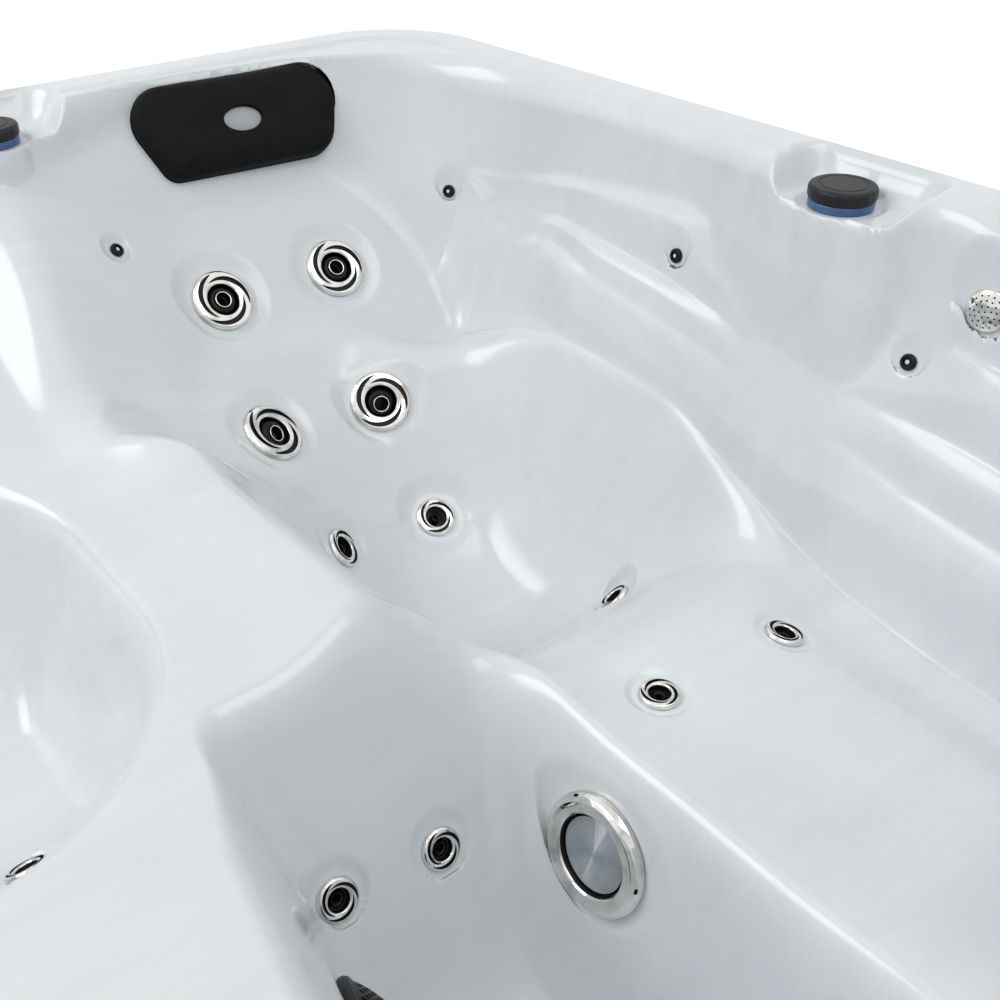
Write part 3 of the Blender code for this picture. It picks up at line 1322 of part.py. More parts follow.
def make_panel(seats):
    """The touch panel in the lip, with three sprung buttons in pockets."""
    frame = seats["panel"].frame()
    shape = bmesh.new()
    outline = rounded_outline(PANEL_HALF_WIDTH, PANEL_HALF_HEIGHT, PANEL_CORNER)
    add_rings(shape, prism_rings(outline, 0, PANEL_THICKNESS))
    pocket = BUTTON_RADIUS + BUTTON_CLEARANCE
    floor = PANEL_THICKNESS - BUTTON_HEIGHT + GAP
    cutters = bmesh.new()
    places = [Matrix.Translation((k * BUTTON_SPACING, 0, 0)) for k in (-1, 0, 1)]
    for place in places:
        rings = [circle(pocket, floor, SMALL_SIDES), circle(pocket, SEAT_RISE, SMALL_SIDES)]
        add_body(cutters, rings, place)
    mesh = cut_mesh("touch_panel", closed_mesh("touch_panel", shape), cutters, black_plastic())
    add_object("touch_panel", mesh, black_plastic(), frame)
    low = floor + BUTTON_TRAVEL + GAP
    high = low + BUTTON_HEIGHT
    profile = ((0, low), (BUTTON_RADIUS, low), (BUTTON_RADIUS, high - GAP), (0, high))
    button = turned_mesh("button", profile, SMALL_SIDES)
    for name, place in zip(("jets", "light", "heat"), places):
        add_object("button_" + name, button, white_plastic(), frame @ place)


# Filter: a cup hung under the deck, and a lid that carries the pleated cartridge
CUP_LENGTH = 0.30
CUP_WALL = 0.004
CUP_FLANGE = 0.090
CUP_FLANGE_DROP = 0.006
LID_RISE = 0.010
LID_ROLL = 0.004
LID_GRIP = 0.034
LID_GRIP_DEPTH = 0.007
CARTRIDGE_RADIUS = 0.058
CARTRIDGE_LENGTH = 0.235
CARTRIDGE_NECK = 0.020
CARTRIDGE_NECK_LENGTH = 0.030
CARTRIDGE_PLEATS = 8
CARTRIDGE_PLEAT_DEPTH = 0.006
CARTRIDGE_CAP = 0.010


def make_filter(seats):
    frame = seats["filter"].frame()
    top = -SHELL_THICKNESS - 2 * GAP
    bore = FILTER_BORE
    cup = ((0, top - CUP_LENGTH), (bore + CUP_WALL, top - CUP_LENGTH),
           (bore + CUP_WALL, top - CUP_FLANGE_DROP), (CUP_FLANGE, top - CUP_FLANGE_DROP),
           (CUP_FLANGE, top), (bore, top), (bore, top - CUP_LENGTH + CUP_WALL),
           (0, top - CUP_LENGTH + CUP_WALL))
    mesh = turned_mesh("filter_housing", cup, FINE_SIDES)
    add_object("filter_housing", mesh, white_plastic(), frame)
    neck = -CARTRIDGE_NECK_LENGTH
    foot = neck - CARTRIDGE_LENGTH
    wide = CARTRIDGE_RADIUS + CARTRIDGE_PLEAT_DEPTH / 2
    shape = bmesh.new()
    star = []
    for k in range(2 * CARTRIDGE_PLEATS):
        away = CARTRIDGE_RADIUS - (k % 2) * CARTRIDGE_PLEAT_DEPTH
        turn = math.tau * k / (2 * CARTRIDGE_PLEATS)
        star.append((away * math.cos(turn), away * math.sin(turn)))
    sides = 2 * CARTRIDGE_PLEATS
    rings = [circle(wide, foot, sides), circle(wide, foot + CARTRIDGE_CAP, sides)]
    rings += prism_rings(star, foot + CARTRIDGE_CAP, neck - CARTRIDGE_CAP)
    for radius, height in ((wide, neck - CARTRIDGE_CAP), (wide, neck), (CARTRIDGE_NECK, neck),
                           (CARTRIDGE_NECK, 0), (FILTER_LID, 0), (FILTER_LID, LID_RISE - LID_ROLL),
                           (FILTER_LID - LID_ROLL, LID_RISE), (LID_GRIP, LID_RISE),
                           (LID_GRIP - LID_ROLL, LID_RISE - LID_GRIP_DEPTH)):
        rings.append(circle(radius, height, sides))
    add_rings(shape, rings)
    mesh = closed_mesh("filter_cartridge", shape)
    add_object("filter_cartridge", mesh, filter_fabric(), frame)


# Cabinet under the lip: how far its faces stand in from the lip's edge
BASE_INSET = 0.030
BASE_WALL = 0.016
BASE_HEIGHT = 0.050
BASE_FLOOR = 0.012
BOARD_INSET = 0.030
BOARD_THICKNESS = 0.014
BOARD_DROP = 0.003
BOARD_GROOVES = 5
GROOVE_WIDTH = 0.012
GROOVE_DEPTH = 0.005
GROOVE_BEVEL = 0.003
POST_INSET = 0.026
POST_THICKNESS = 0.026
POST_DROP = 0.0016
POST_REACH = 0.235
POST_ARC_STEPS = 8
SUPPORT_WALL = 0.018
DRAIN_X = 0.55
DRAIN_Z = 0.115
DRAIN_RADIUS = 0.030
DRAIN_RISE = 0.012
DRAIN_CAP = 0.018
DRAIN_CAP_RISE = 0.010


def make_base():
    """Moulded base tray that the cabinet stands on."""
    shape = bmesh.new()
    rings = []
    inner = BASE_INSET + BASE_WALL
    for inset, height in ((BASE_INSET, 0), (BASE_INSET, BASE_HEIGHT), (inner, BASE_HEIGHT),
                          (inner, BASE_FLOOR)):
        outline = rounded_outline(HALF - inset, HALF - inset, LIP_CORNER - inset)
        rings.append([(x, y, height) for x, y in outline])
    add_rings(shape, rings)
    add_object("base_pan", closed_mesh("base_pan", shape), base_plastic())


def post_outline():
    """Quarter-round corner post in plan, at the corner on the +X and +Y sides."""
    middle = HALF - LIP_CORNER
    outer = LIP_CORNER - POST_INSET
    inner = outer - POST_THICKNESS
    end = HALF - POST_REACH
    turns = [math.pi / 2 * k / POST_ARC_STEPS for k in range(POST_ARC_STEPS + 1)]
    points = [(middle + outer, end)]
    points += [(middle + outer * math.cos(t), middle + outer * math.sin(t)) for t in turns]
    points += [(end, middle + outer), (end, middle + inner)]
    points += [(middle + inner * math.cos(t), middle + inner * math.sin(t)) for t in reversed(turns)]
    points += [(middle + inner, end)]
    return points


def board_profile():
    """(Outward, height) points of a grooved cabinet panel."""
    outer = HALF - BOARD_INSET
    inner = outer - BOARD_THICKNESS
    low = BASE_HEIGHT + GAP
    high = HEIGHT - SHELF_DEPTH - SEAT_SINK - SHELL_THICKNESS - BOARD_DROP
    points = [(inner, low), (outer, low)]
    pitch = (high - low) / (BOARD_GROOVES + 1)
    for k in range(BOARD_GROOVES):
        middle = low + pitch * (k + 1)
        half = GROOVE_WIDTH / 2
        points.append((outer, middle - half))
        points.append((outer - GROOVE_DEPTH, middle - half + GROOVE_BEVEL))
        points.append((outer - GROOVE_DEPTH, middle + half - GROOVE_BEVEL))
        points.append((outer, middle + half))
    points += [(outer, high), (inner, high)]
    return points


def make_cabinet():
    """Four posts that carry the lip and four grooved panels between them."""
    shape = bmesh.new()
    add_rings(shape, prism_rings(post_outline(), BASE_HEIGHT + GAP,
                                 HEIGHT - SHELL_THICKNESS - POST_DROP))
    post = closed_mesh("post", shape)
    shape = bmesh.new()
    reach = HALF - POST_REACH - GAP
    rings = [[(x, y, z) for y, z in board_profile()] for x in (-reach, reach)]
    add_rings(shape, rings)
    board = closed_mesh("panel", shape)
    sides = ("back", "left", "front", "right")
    corners = ("back_right", "back_left", "front_left", "front_right")
    for k, (side, corner) in enumerate(zip(sides, corners)):
        turn = Matrix.Rotation(k * math.pi / 2, 4, "Z")
        add_object("cabinet_post_" + corner, post, cabinet_trim(), turn)
        add_object("cabinet_panel_" + side, board, cabinet_board(), turn)


def make_well_support(seats):
    """Hollow cradle that carries the foot well's floor on the base."""
    low = BASE_FLOOR + GAP
    high = HEIGHT - seats["well_floor"].ground - SHELL_THICKNESS - GAP
    shape = bmesh.new()
    rings = []
    for inset, height in ((0, low), (0, high), (SUPPORT_WALL, high), (SUPPORT_WALL, low)):
        outline = rounded_outline(SUPPORT_HALF_X - inset, SUPPORT_HALF_Y - inset,
                                  SUPPORT_CORNER - inset / 2)
        rings.append([(SUPPORT_X + x, SUPPORT_Y + y, height) for x, y in outline])
    add_rings(shape, rings, around=True)
    add_object("foot_well_support", closed_mesh("foot_well_support", shape), base_plastic())


def make_drain():
    profile = ((0, 0), (DRAIN_RADIUS, 0), (DRAIN_RADIUS, DRAIN_RISE / 2),
               (DRAIN_CAP, DRAIN_RISE), (DRAIN_CAP, DRAIN_RISE + DRAIN_CAP_RISE / 2),
               (0, DRAIN_RISE + DRAIN_CAP_RISE / 2))
    mesh = turned_mesh("drain_fitting", profile, SMALL_SIDES)
    place = (DRAIN_X, -(HALF - BOARD_INSET + GAP), DRAIN_Z)
    add_object("drain_fitting", mesh, black_plastic(), axis_frame(place, (0, -1, 0)))


# Equipment in the bay behind the left panel
BAY_INSET = 0.19
BAY_X = BAY_INSET - HALF
PUMP_Z = 0.130
PUMP_START_Y = 0.0
INLET_RADIUS = 0.030
INLET_LENGTH = 0.040
VOLUTE_RADIUS = 0.098
VOLUTE_WIDTH = 0.090
VOLUTE_BEVEL = 0.016
MOTOR_RADIUS = 0.082
MOTOR_LENGTH = 0.270
MOTOR_RIBS = 2
MOTOR_RIB_DEPTH = 0.006
MOTOR_CAP = 0.030
MOTOR_FOOT_HALF = 0.055
MOTOR_FOOT_LENGTH = 0.150
MOTOR_FOOT_START = 0.050
MOTOR_FOOT_TOP_SHARE = 0.5
PUMP_SIDES = 12
PIPE_RADIUS = 0.026
MANIFOLD_SHARE = 1.55
ELBOW = 0.045
SUCTION_RUN = 0.0675
ELBOW_STEPS = 3
PIPE_SIDES_RESOLUTION = 1
HEATER_Y = 0.48
HEATER_LENGTH = 0.34
HEATER_RADIUS = 0.030
HEATER_FLANGE = 0.037
HEATER_FLANGE_WIDTH = 0.012
HEATER_Z = 0.335
BOX_Y = 0.65
BOX_HALF_X = 0.075
BOX_HALF_Y = 0.145
BOX_CORNER = 0.012
BOX_LID = 0.030
BOX_LID_LAP = 0.004
MANIFOLD_Y = 0.955
MANIFOLD_START_X = 0.25
MANIFOLD_END_X = 0.78


def make_pump():
    """Pump lying along Y: wet end with its inlet, and a ribbed motor on a foot."""
    half_facet = math.pi / PUMP_SIDES
    wet = [(0, -INLET_LENGTH), (INLET_RADIUS, -INLET_LENGTH), (INLET_RADIUS, 0),
           (VOLUTE_RADIUS - VOLUTE_BEVEL, 0), (VOLUTE_RADIUS, VOLUTE_BEVEL),
           (VOLUTE_RADIUS, VOLUTE_WIDTH - VOLUTE_BEVEL),
           (VOLUTE_RADIUS - VOLUTE_BEVEL, VOLUTE_WIDTH), (0, VOLUTE_WIDTH)]
    place = (BAY_X, PUMP_START_Y, PUMP_Z)
    frame = axis_frame(place, (0, 1, 0))
    mesh = turned_mesh("pump_wet_end", wet, PUMP_SIDES, phase=half_facet)
    add_object("pump_wet_end", mesh, black_plastic(), frame)
    start = VOLUTE_WIDTH + GAP
    end = start + MOTOR_LENGTH
    body = [(0, start), (MOTOR_RADIUS, start)]
    pitch = (MOTOR_LENGTH - MOTOR_CAP) / (2 * MOTOR_RIBS + 1)
    for k in range(MOTOR_RIBS):
        groove = start + pitch * (2 * k + 1)
        body.append((MOTOR_RADIUS, groove))
        body.append((MOTOR_RADIUS - MOTOR_RIB_DEPTH, groove))
        body.append((MOTOR_RADIUS - MOTOR_RIB_DEPTH, groove + pitch))
        body.append((MOTOR_RADIUS, groove + pitch))
    body += [(MOTOR_RADIUS, end - MOTOR_CAP), (MOTOR_RADIUS - MOTOR_CAP, end), (0, end)]
    motor = add_object("pump_motor", turned_mesh("pump_motor", body, PUMP_SIDES, phase=half_facet),
                       motor_paint(), frame)
    foot = bmesh.new()
    outline = rounded_outline(MOTOR_FOOT_HALF, MOTOR_FOOT_LENGTH / 2, BOX_CORNER)
    rings = prism_rings(outline, BASE_FLOOR + GAP, PUMP_Z - MOTOR_RADIUS * MOTOR_FOOT_TOP_SHARE)
    middle = PUMP_START_Y + start + MOTOR_FOOT_START + MOTOR_FOOT_LENGTH / 2
    add_body(foot, rings, Matrix.Translation((BAY_X, middle, 0)))
    piece = add_object("motor_foot", closed_mesh("motor_foot", foot), motor_paint())
    union = motor.modifiers.new("foot", "BOOLEAN")
    union.operation = "UNION"
    union.object = piece
    bpy.context.view_layer.update()
    joined = evaluated_mesh(motor)
    motor.modifiers.clear()
    motor.data = joined
    bpy.data.objects.remove(piece)


def rounded_route(route):
    """Points along a pipe's straight runs with a round elbow at each corner."""
    points = [Vector(place) for place in route]
    line = [points[0]]
    for before, corner, after in zip(points, points[1:], points[2:]):
        start = corner + (before - corner).normalized() * ELBOW
        end = corner + (after - corner).normalized() * ELBOW
        for k in range(ELBOW_STEPS + 1):
            t = k / ELBOW_STEPS
            line.append(start * (1 - t) ** 2 + corner * 2 * t * (1 - t) + end * t * t)
    return line + [points[-1]]


def make_pipe(name, route, finish, thick_from=None):
    """A pipe with flat ends along a route; it is a manifold beyond the x given."""
    line = bpy.data.curves.new(name, "CURVE")
    line.dimensions = "3D"
    line.bevel_depth = PIPE_RADIUS
    line.bevel_resolution = PIPE_SIDES_RESOLUTION
    line.use_fill_caps = True
    spline = line.splines.new("POLY")
    points = rounded_route(route)
    spline.points.add(len(points) - 1)
    for target, place in zip(spline.points, points):
        target.co = (*place, 1)
        if thick_from is not None and place.x > thick_from:
            target.radius = MANIFOLD_SHARE
    line.materials.append(finish)
    made = bpy.data.objects.new(name, line)
    bpy.context.scene.collection.objects.link(made)


def make_heater():
    """Heater tube along Y on the control box beside the pump."""
    far = HEATER_LENGTH
    wide = HEATER_FLANGE_WIDTH
    profile = ((0, 0), (HEATER_FLANGE, 0), (HEATER_FLANGE, wide), (HEATER_RADIUS, wide),
               (HEATER_RADIUS, far - wide), (HEATER_FLANGE, far - wide), (HEATER_FLANGE, far),
               (0, far))
    half_facet = math.pi / SMALL_SIDES
    mesh = turned_mesh("heater", profile, SMALL_SIDES, phase=half_facet)
    add_object("heater", mesh, steel(), axis_frame((BAY_X, HEATER_Y, HEATER_Z), (0, 1, 0)))
    top = HEATER_Z - HEATER_FLANGE * math.cos(half_facet) - GAP
    shape = bmesh.new()
    rings = []
    lid = top - BOX_LID
    for lap, height in ((0, BASE_FLOOR + GAP), (0, lid), (BOX_LID_LAP, lid), (BOX_LID_LAP, top)):
        outline = rounded_outline(BOX_HALF_X + lap, BOX_HALF_Y + lap, BOX_CORNER)
        rings.append([(BAY_X + x, BOX_Y + y, height) for x, y in outline])
    add_rings(shape, rings)
    add_object("control_box", closed_mesh("control_box", shape), base_plastic())


def make_plumbing(seats):
    """Suction, discharge and return pipes between the grille, pump, heater and jets."""
    suction = seats["suction"]
    start = suction.place - suction.normal * (STUB_LENGTH + GAP)
    turn = start - suction.normal * SUCTION_RUN
    inlet = PUMP_START_Y - INLET_LENGTH - GAP
    route = [start, turn, (turn.x - ELBOW, turn.y, PUMP_Z), (BAY_X, turn.y, PUMP_Z),
             (BAY_X, inlet, PUMP_Z)]
    make_pipe("suction_pipe", route, white_plastic())
    top = PUMP_Z + VOLUTE_RADIUS * math.cos(math.pi / PUMP_SIDES) + GAP
    middle = PUMP_START_Y + VOLUTE_WIDTH / 2
    route = [(BAY_X, middle, top), (BAY_X, middle, HEATER_Z), (BAY_X, HEATER_Y - GAP, HEATER_Z)]
    make_pipe("discharge_pipe", route, white_plastic())
    end = HEATER_Y + HEATER_LENGTH + GAP
    floor = BASE_FLOOR + PIPE_RADIUS * MANIFOLD_SHARE + GAP
    route = [(BAY_X, end, HEATER_Z), (BAY_X, MANIFOLD_Y, HEATER_Z), (BAY_X, MANIFOLD_Y, floor),
             (MANIFOLD_START_X, MANIFOLD_Y, floor), (MANIFOLD_END_X, MANIFOLD_Y, floor)]
    make_pipe("return_manifold", route, white_plastic(), thick_from=MANIFOLD_START_X)


def main():
    for old in list(bpy.data.objects):
        bpy.data.objects.remove(old)
    rounds = round_seats()
    longs = long_seats()
    make_shell(rounds, longs)
    make_jets(rounds)
    make_lamp_pins(rounds)
    make_light(rounds)
    make_neck_jet(rounds)
    make_suction_cover(rounds)
    make_valves(rounds)
    make_filter(rounds)
    make_pillows(longs)
    make_panel(longs)
    make_base()
    make_cabinet()
    make_well_support(longs)
    make_drain()
    make_pump()
    make_heater()
    make_plumbing(rounds)


if __name__ == "__main__":
    main()
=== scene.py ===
"""Looks of the hot tub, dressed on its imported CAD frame.

The depth of the moulded shell is worked out as in the part's own source, on a finer sheet. Only the
wall's top comes farther forward in front of the two valves, and the headrests lie in openings.
Metres, +Z up, in the frame's own coordinates.
"""

import json
import math

import bmesh
import bpy
import numpy as np
from mathutils import Matrix, Vector
from mathutils.geometry import delaunay_2d_cdt


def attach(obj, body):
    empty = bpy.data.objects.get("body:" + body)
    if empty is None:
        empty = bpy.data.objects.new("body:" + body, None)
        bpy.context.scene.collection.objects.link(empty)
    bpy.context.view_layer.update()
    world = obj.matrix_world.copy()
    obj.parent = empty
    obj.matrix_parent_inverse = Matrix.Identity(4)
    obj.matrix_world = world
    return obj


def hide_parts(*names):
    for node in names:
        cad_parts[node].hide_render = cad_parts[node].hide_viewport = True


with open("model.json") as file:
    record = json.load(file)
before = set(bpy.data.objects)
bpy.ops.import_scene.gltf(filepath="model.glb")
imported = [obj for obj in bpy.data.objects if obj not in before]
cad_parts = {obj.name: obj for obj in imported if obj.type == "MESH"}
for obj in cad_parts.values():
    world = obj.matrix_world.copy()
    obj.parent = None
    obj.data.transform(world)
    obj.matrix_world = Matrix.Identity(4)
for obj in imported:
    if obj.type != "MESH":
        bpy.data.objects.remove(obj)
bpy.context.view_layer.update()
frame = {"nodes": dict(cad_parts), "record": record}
NODES = frame["nodes"]
ROOT = "tub"

# Driving sizes of the whole tub
TUB_WIDTH = 2.10
HALF = TUB_WIDTH / 2
HEIGHT = 0.92
FLOOR_HEIGHT = 0.12
WELL_DEPTH = HEIGHT - FLOOR_HEIGHT
SHELL_THICKNESS = 0.008
GAP = 0.0003
MERGE_DISTANCE = 0.00002
HALVINGS = 40

# Rim of the shell
LIP_CORNER = 0.20
LIP_WIDTH = 0.09
LIP_BAND = 0.075
LIP_STEP = 0.004
LIP_ROLL = 0.020
SKIRT_DEPTH = 0.085
BASIN_CORNER = 0.36
WALL_ROLL = 0.045
SEAT_ROLL = 0.05

# Slopes, as rise over run, and soft radii where two surfaces meet
WALL_SLOPE = 5.2
LEDGE_WALL_SLOPE = 10.0
LEDGE_SLOPE = 0.45
SEAT_WALL_SLOPE = 6.0
BOWL_SLOPE = 2.6
CORNER_BOWL_SLOPE = 2.2
LOUNGER_WALL_SLOPE = 2.6
WELL_FAR_SLOPE = 1.95
WELL_SIDE_SLOPE = 4.6
WELL_LEFT_SLOPE = 3.6
WELL_NEAR_SLOPE = 3.6
SHELF_SLOPE = 1.6
BLEND_FINE = 0.02
BLEND_SMALL = 0.035
BLEND_SOFT = 0.05
BLEND_BROAD = 0.10
BLEND_CORNER = 0.26
BLEND_ROLL = 0.13
BLEND_SIDES = 0.13

# Depths below the lip
SEAT_RIM_DEPTH = 0.375
BOWL_RIM_DEPTH = 0.365
CREST_DEPTH = 0.445
WELL_RIM_DEPTH = 0.40
CORNER_SEAT_DEPTH = 0.60
SHELF_DEPTH = 0.048
LEDGE_WIDTH = 0.028
LEDGE_BLEND = 0.065
LEDGE_ROLL_BLEND = 0.055

# Stations along Y, as shares of the half side, and depths, as shares of the well
BACK_Y_SHARES = (1.0, 0.952, 0.905, 0.857, 0.819, 0.705, 0.562, 0.414, 0.286)
BACK_DEPTH_SHARES = (-0.150, -0.062, 0.025, 0.125, 0.206, 0.388, 0.612, 0.806, 0.900)
SEAT_BACK_Y_SHARES = (1.0, 0.905, 0.857, 0.762, 0.667, 0.571, 0.476, 0.381, 0.286)
SEAT_BACK_DEPTH_SHARES = (-0.125, 0.019, 0.138, 0.281, 0.356, 0.406, 0.438, 0.452, 0.462)
SHOULDER_DEPTH_SHARES = (-0.125, 0.012, 0.094, 0.175, 0.238, 0.300, 0.350, 0.395, 0.425)
LOUNGER_Y_SHARES = (1.0, 0.952, 0.905, 0.857, 0.819, 0.705, 0.562, 0.414, 0.300, 0.205,
                    0.112, 0.018, -0.080, -0.180, -0.333, -0.571, -0.781)
LOUNGER_DEPTH_SHARES = (-0.150, -0.062, 0.025, 0.125, 0.206, 0.388, 0.612, 0.806, 0.900, 0.919,
                        0.875, 0.762, 0.650, 0.594, 0.594, 0.638, 0.688)
MIDLINE_Y_SHARES = (0.952, 0.571, 0.190, -0.190, -0.571, -0.952)
MIDLINE_X_SHARES = (0.505, 0.505, 0.514, 0.543, 0.571, 0.590)
BOW_Y_SHARES = (0.952, 0.762, 0.476, 0.095, -0.190, -0.762)
BOW_SHARES = (0.0, 1.0, 1.2, 0.8, -0.2, -0.2)
LEFT_Y_SHARES = (0.952, 0.714, 0.476, 0.357, 0.297, 0.069, -0.038, -0.114, -0.276, -0.410,
                 -0.517, -0.677)
LEFT_X_SHARES = (0.245, 0.180, 0.190, 0.228, 0.216, 0.223, 0.243, 0.260, 0.235, 0.222,
                 0.229, 0.276)
LEFT_SLOPE_Y_SHARES = (0.952, 0.714, 0.571, 0.430, 0.330, 0.190, -0.095, -0.381)
LEFT_SLOPE_SHARES = (0.3, 0.35, 0.45, 0.9, 1.6, 1.9, 1.4, 0.8)
RIGHT_Y_SHARES = (0.952, 0.714, 0.571, 0.476, 0.333, 0.095, -0.190, -0.952)
RIGHT_X_SHARES = (0.876, 0.819, 0.733, 0.762, 0.786, 0.795, 0.810, 0.829)
BOWL_Y_SHARES = (0.590, 0.429, 0.286, 0.143, 0.048, -0.076, -0.286)
BOWL_DEPTH_SHARES = (0.450, 0.650, 0.769, 0.775, 0.712, 0.575, 0.475)
LEDGE_Y_SHARES = (0.714, 0.590, 0.429, 0.286, 0.143, -0.048, -0.257, -0.476, -0.952)
LEDGE_DEPTH_SHARES = (0.600, 0.550, 0.462, 0.438, 0.444, 0.550, 0.650, 0.681, 0.700)
PLATEAU_Y_SHARES = (0.952, 0.190, -0.095, -0.476)
PLATEAU_DEPTH_SHARES = (0.456, 0.469, 0.488, 0.494)
CREST_Y_SHARES = (0.476, 0.286, 0.095, -0.143, -0.305, -0.952)
CREST_DEPTH_SHARES = (0.430, 0.450, 0.470, 0.540, 0.575, 0.580)


def smooth_min(a, b, soft):
    h = np.clip(0.5 + 0.5 * (b - a) / soft, 0, 1)
    return b + (a - b) * h - soft * h * (1 - h)


def smooth_max(a, b, soft):
    return -smooth_min(-a, -b, soft)


def ramp(value, low, high):
    t = np.clip((value - low) / (high - low), 0, 1)
    return t * t * (3 - 2 * t)


def inside_box(x, y, middle_x, middle_y, half_x, half_y, corner):
    """Distance inside a rectangle with round corners, negative outside it."""
    qx = np.abs(x - middle_x) - (half_x - corner)
    qy = np.abs(y - middle_y) - (half_y - corner)
    outside = np.hypot(np.maximum(qx, 0), np.maximum(qy, 0))
    return corner - outside - np.minimum(np.maximum(qx, qy), 0)


def rolled_edge(inside, radius, slope):
    """Depth of a sloping wall whose top edge is rounded."""
    angle = math.atan(slope) if np.isscalar(slope) else np.arctan(slope)
    tangent = radius * np.tan(angle / 2)
    u = np.clip(inside + tangent, 0, radius * np.sin(angle))
    arc = radius - np.sqrt(np.maximum(radius * radius - u * u, 0))
    return np.where(inside > tangent * np.cos(angle), slope * inside, arc)


def through(value, station_shares, value_shares, station_size, value_size=1.0):
    """Smooth curve through stations: monotone cubic pieces, held at both ends."""
    stations = np.array(station_shares) * station_size
    values = np.array(value_shares) * value_size
    order = np.argsort(stations)
    stations = stations[order]
    values = values[order]
    rates = np.diff(values) / np.diff(stations)
    slopes = np.zeros_like(values)
    same_way = rates[:-1] * rates[1:] > 0
    total = np.where(same_way, rates[:-1] + rates[1:], 1.0)
    slopes[1:-1] = np.where(same_way, 2 * rates[:-1] * rates[1:] / total, 0)
    slopes[0] = rates[0]
    slopes[-1] = rates[-1]
    i = np.clip(np.searchsorted(stations, value) - 1, 0, len(stations) - 2)
    width = stations[i + 1] - stations[i]
    t = np.clip((value - stations[i]) / width, 0, 1)
    start = values[i] * (1 + 2 * t) * (1 - t) ** 2 + slopes[i] * width * t * (1 - t) ** 2
    end = values[i + 1] * t * t * (3 - 2 * t) + slopes[i + 1] * width * t * t * (t - 1)
    return start + end


def along(y, y_shares, depth_shares):
    return through(y, y_shares, depth_shares, HALF, WELL_DEPTH)


def lounger_depth(x, y):
    """The lounger: reclined back, hip bowl, knee hump and leg run along the right wall."""
    middle = through(y, MIDLINE_Y_SHARES, MIDLINE_X_SHARES, HALF, HALF)
    bow = through(y, BOW_Y_SHARES, BOW_SHARES, HALF) / HALF
    floor = along(y, LOUNGER_Y_SHARES, LOUNGER_DEPTH_SHARES)
    floor = floor - bow * np.clip(np.abs(x - middle) - BLEND_FINE, 0, HALF) ** 2
    left_edge = through(y, LEFT_Y_SHARES, LEFT_X_SHARES, HALF, HALF)
    left_slope = through(y, LEFT_SLOPE_Y_SHARES, LEFT_SLOPE_SHARES, HALF)
    right_edge = through(y, RIGHT_Y_SHARES, RIGHT_X_SHARES, HALF, HALF)
    left = SEAT_RIM_DEPTH + left_slope * (x - left_edge)
    beside_back = ramp(y, BACK_SOFT_START_Y, BACK_SOFT_Y)
    right_slope = LOUNGER_WALL_SLOPE * (1 - BACK_SIDE_SHARE * beside_back)
    right = SEAT_RIM_DEPTH + right_slope * (right_edge - x)
    sides = smooth_min(left, right, BLEND_SOFT)
    return smooth_min(floor, sides, BLEND_SIDES)


# Bucket seat beside the lounger
BOWL_X = -0.365
BOWL_Y = 0.25
BOWL_HALF_X = 0.355
BOWL_HALF_Y = 0.375
BOWL_CORNER = 0.30
BOWL_DISH_SHARE = 0.26


def bowl_depth(x, y):
    inside = inside_box(x, y, BOWL_X, BOWL_Y, BOWL_HALF_X, BOWL_HALF_Y, BOWL_CORNER)
    floor = along(y, BOWL_Y_SHARES, BOWL_DEPTH_SHARES)
    floor = floor - BOWL_DISH_SHARE / HALF * (x - BOWL_X) ** 2
    return smooth_min(BOWL_RIM_DEPTH + BOWL_SLOPE * inside, floor, BLEND_BROAD)


# Bucket seat in the near left corner
CORNER_SEAT_X = -0.50
CORNER_SEAT_Y = -0.60
CORNER_SEAT_HALF_X = 0.29
CORNER_SEAT_HALF_Y = 0.26
CORNER_SEAT_CORNER = 0.20
CORNER_DISH_SHARE = 0.42


def corner_seat_depth(x, y):
    inside = inside_box(x, y, CORNER_SEAT_X, CORNER_SEAT_Y, CORNER_SEAT_HALF_X,
                        CORNER_SEAT_HALF_Y, CORNER_SEAT_CORNER)
    away = (x - CORNER_SEAT_X) ** 2 + (y - CORNER_SEAT_Y) ** 2
    floor = CORNER_SEAT_DEPTH - CORNER_DISH_SHARE / HALF * away
    return smooth_min(BOWL_RIM_DEPTH + CORNER_BOWL_SLOPE * inside, floor, BLEND_BROAD)


# Foot well: its far edge, right edge, left edge and near edge at the seats' level
WELL_FAR_Y = -0.075
WELL_RIGHT_X = 0.325
WELL_LEFT_X = -0.02
WELL_LEFT_TURN = 0.19
WELL_NEAR_Y = -0.78
WELL_SIDE_BLEND = 0.12


def well_depth(x, y):
    far = WELL_RIM_DEPTH + WELL_FAR_SLOPE * (WELL_FAR_Y - y)
    right = CREST_DEPTH + WELL_SIDE_SLOPE * (WELL_RIGHT_X - x)
    left = WELL_RIM_DEPTH + WELL_LEFT_SLOPE * (x - WELL_LEFT_X - WELL_LEFT_TURN * y)
    near = WELL_RIM_DEPTH + WELL_NEAR_SLOPE * (y - WELL_NEAR_Y)
    walls = smooth_min(far, right, BLEND_CORNER)
    walls = smooth_min(walls, left, WELL_SIDE_BLEND)
    walls = smooth_min(walls, near, WELL_SIDE_BLEND)
    return smooth_min(walls, WELL_DEPTH, BLEND_BROAD)


# Where the two seat backs and the shoulder between them meet, along X
SHOULDER_LOW_X = 0.04
SHOULDER_X = 0.18
SHOULDER_HIGH_X = 0.44
PLATEAU_EDGE_X = 0.12
CREST_X = 0.36
LEDGE_START_X = 0.60
LEDGE_X = 0.78
RIGHT_WALL_START_X = 0.62
RIGHT_WALL_X = 0.80
CORNER_SOFT_X = 0.35
CORNER_SOFT_Y = 0.60
CORNER_START_Y = 0.35
CORNER_END_X = 0.70
CORNER_SOFT = 0.22

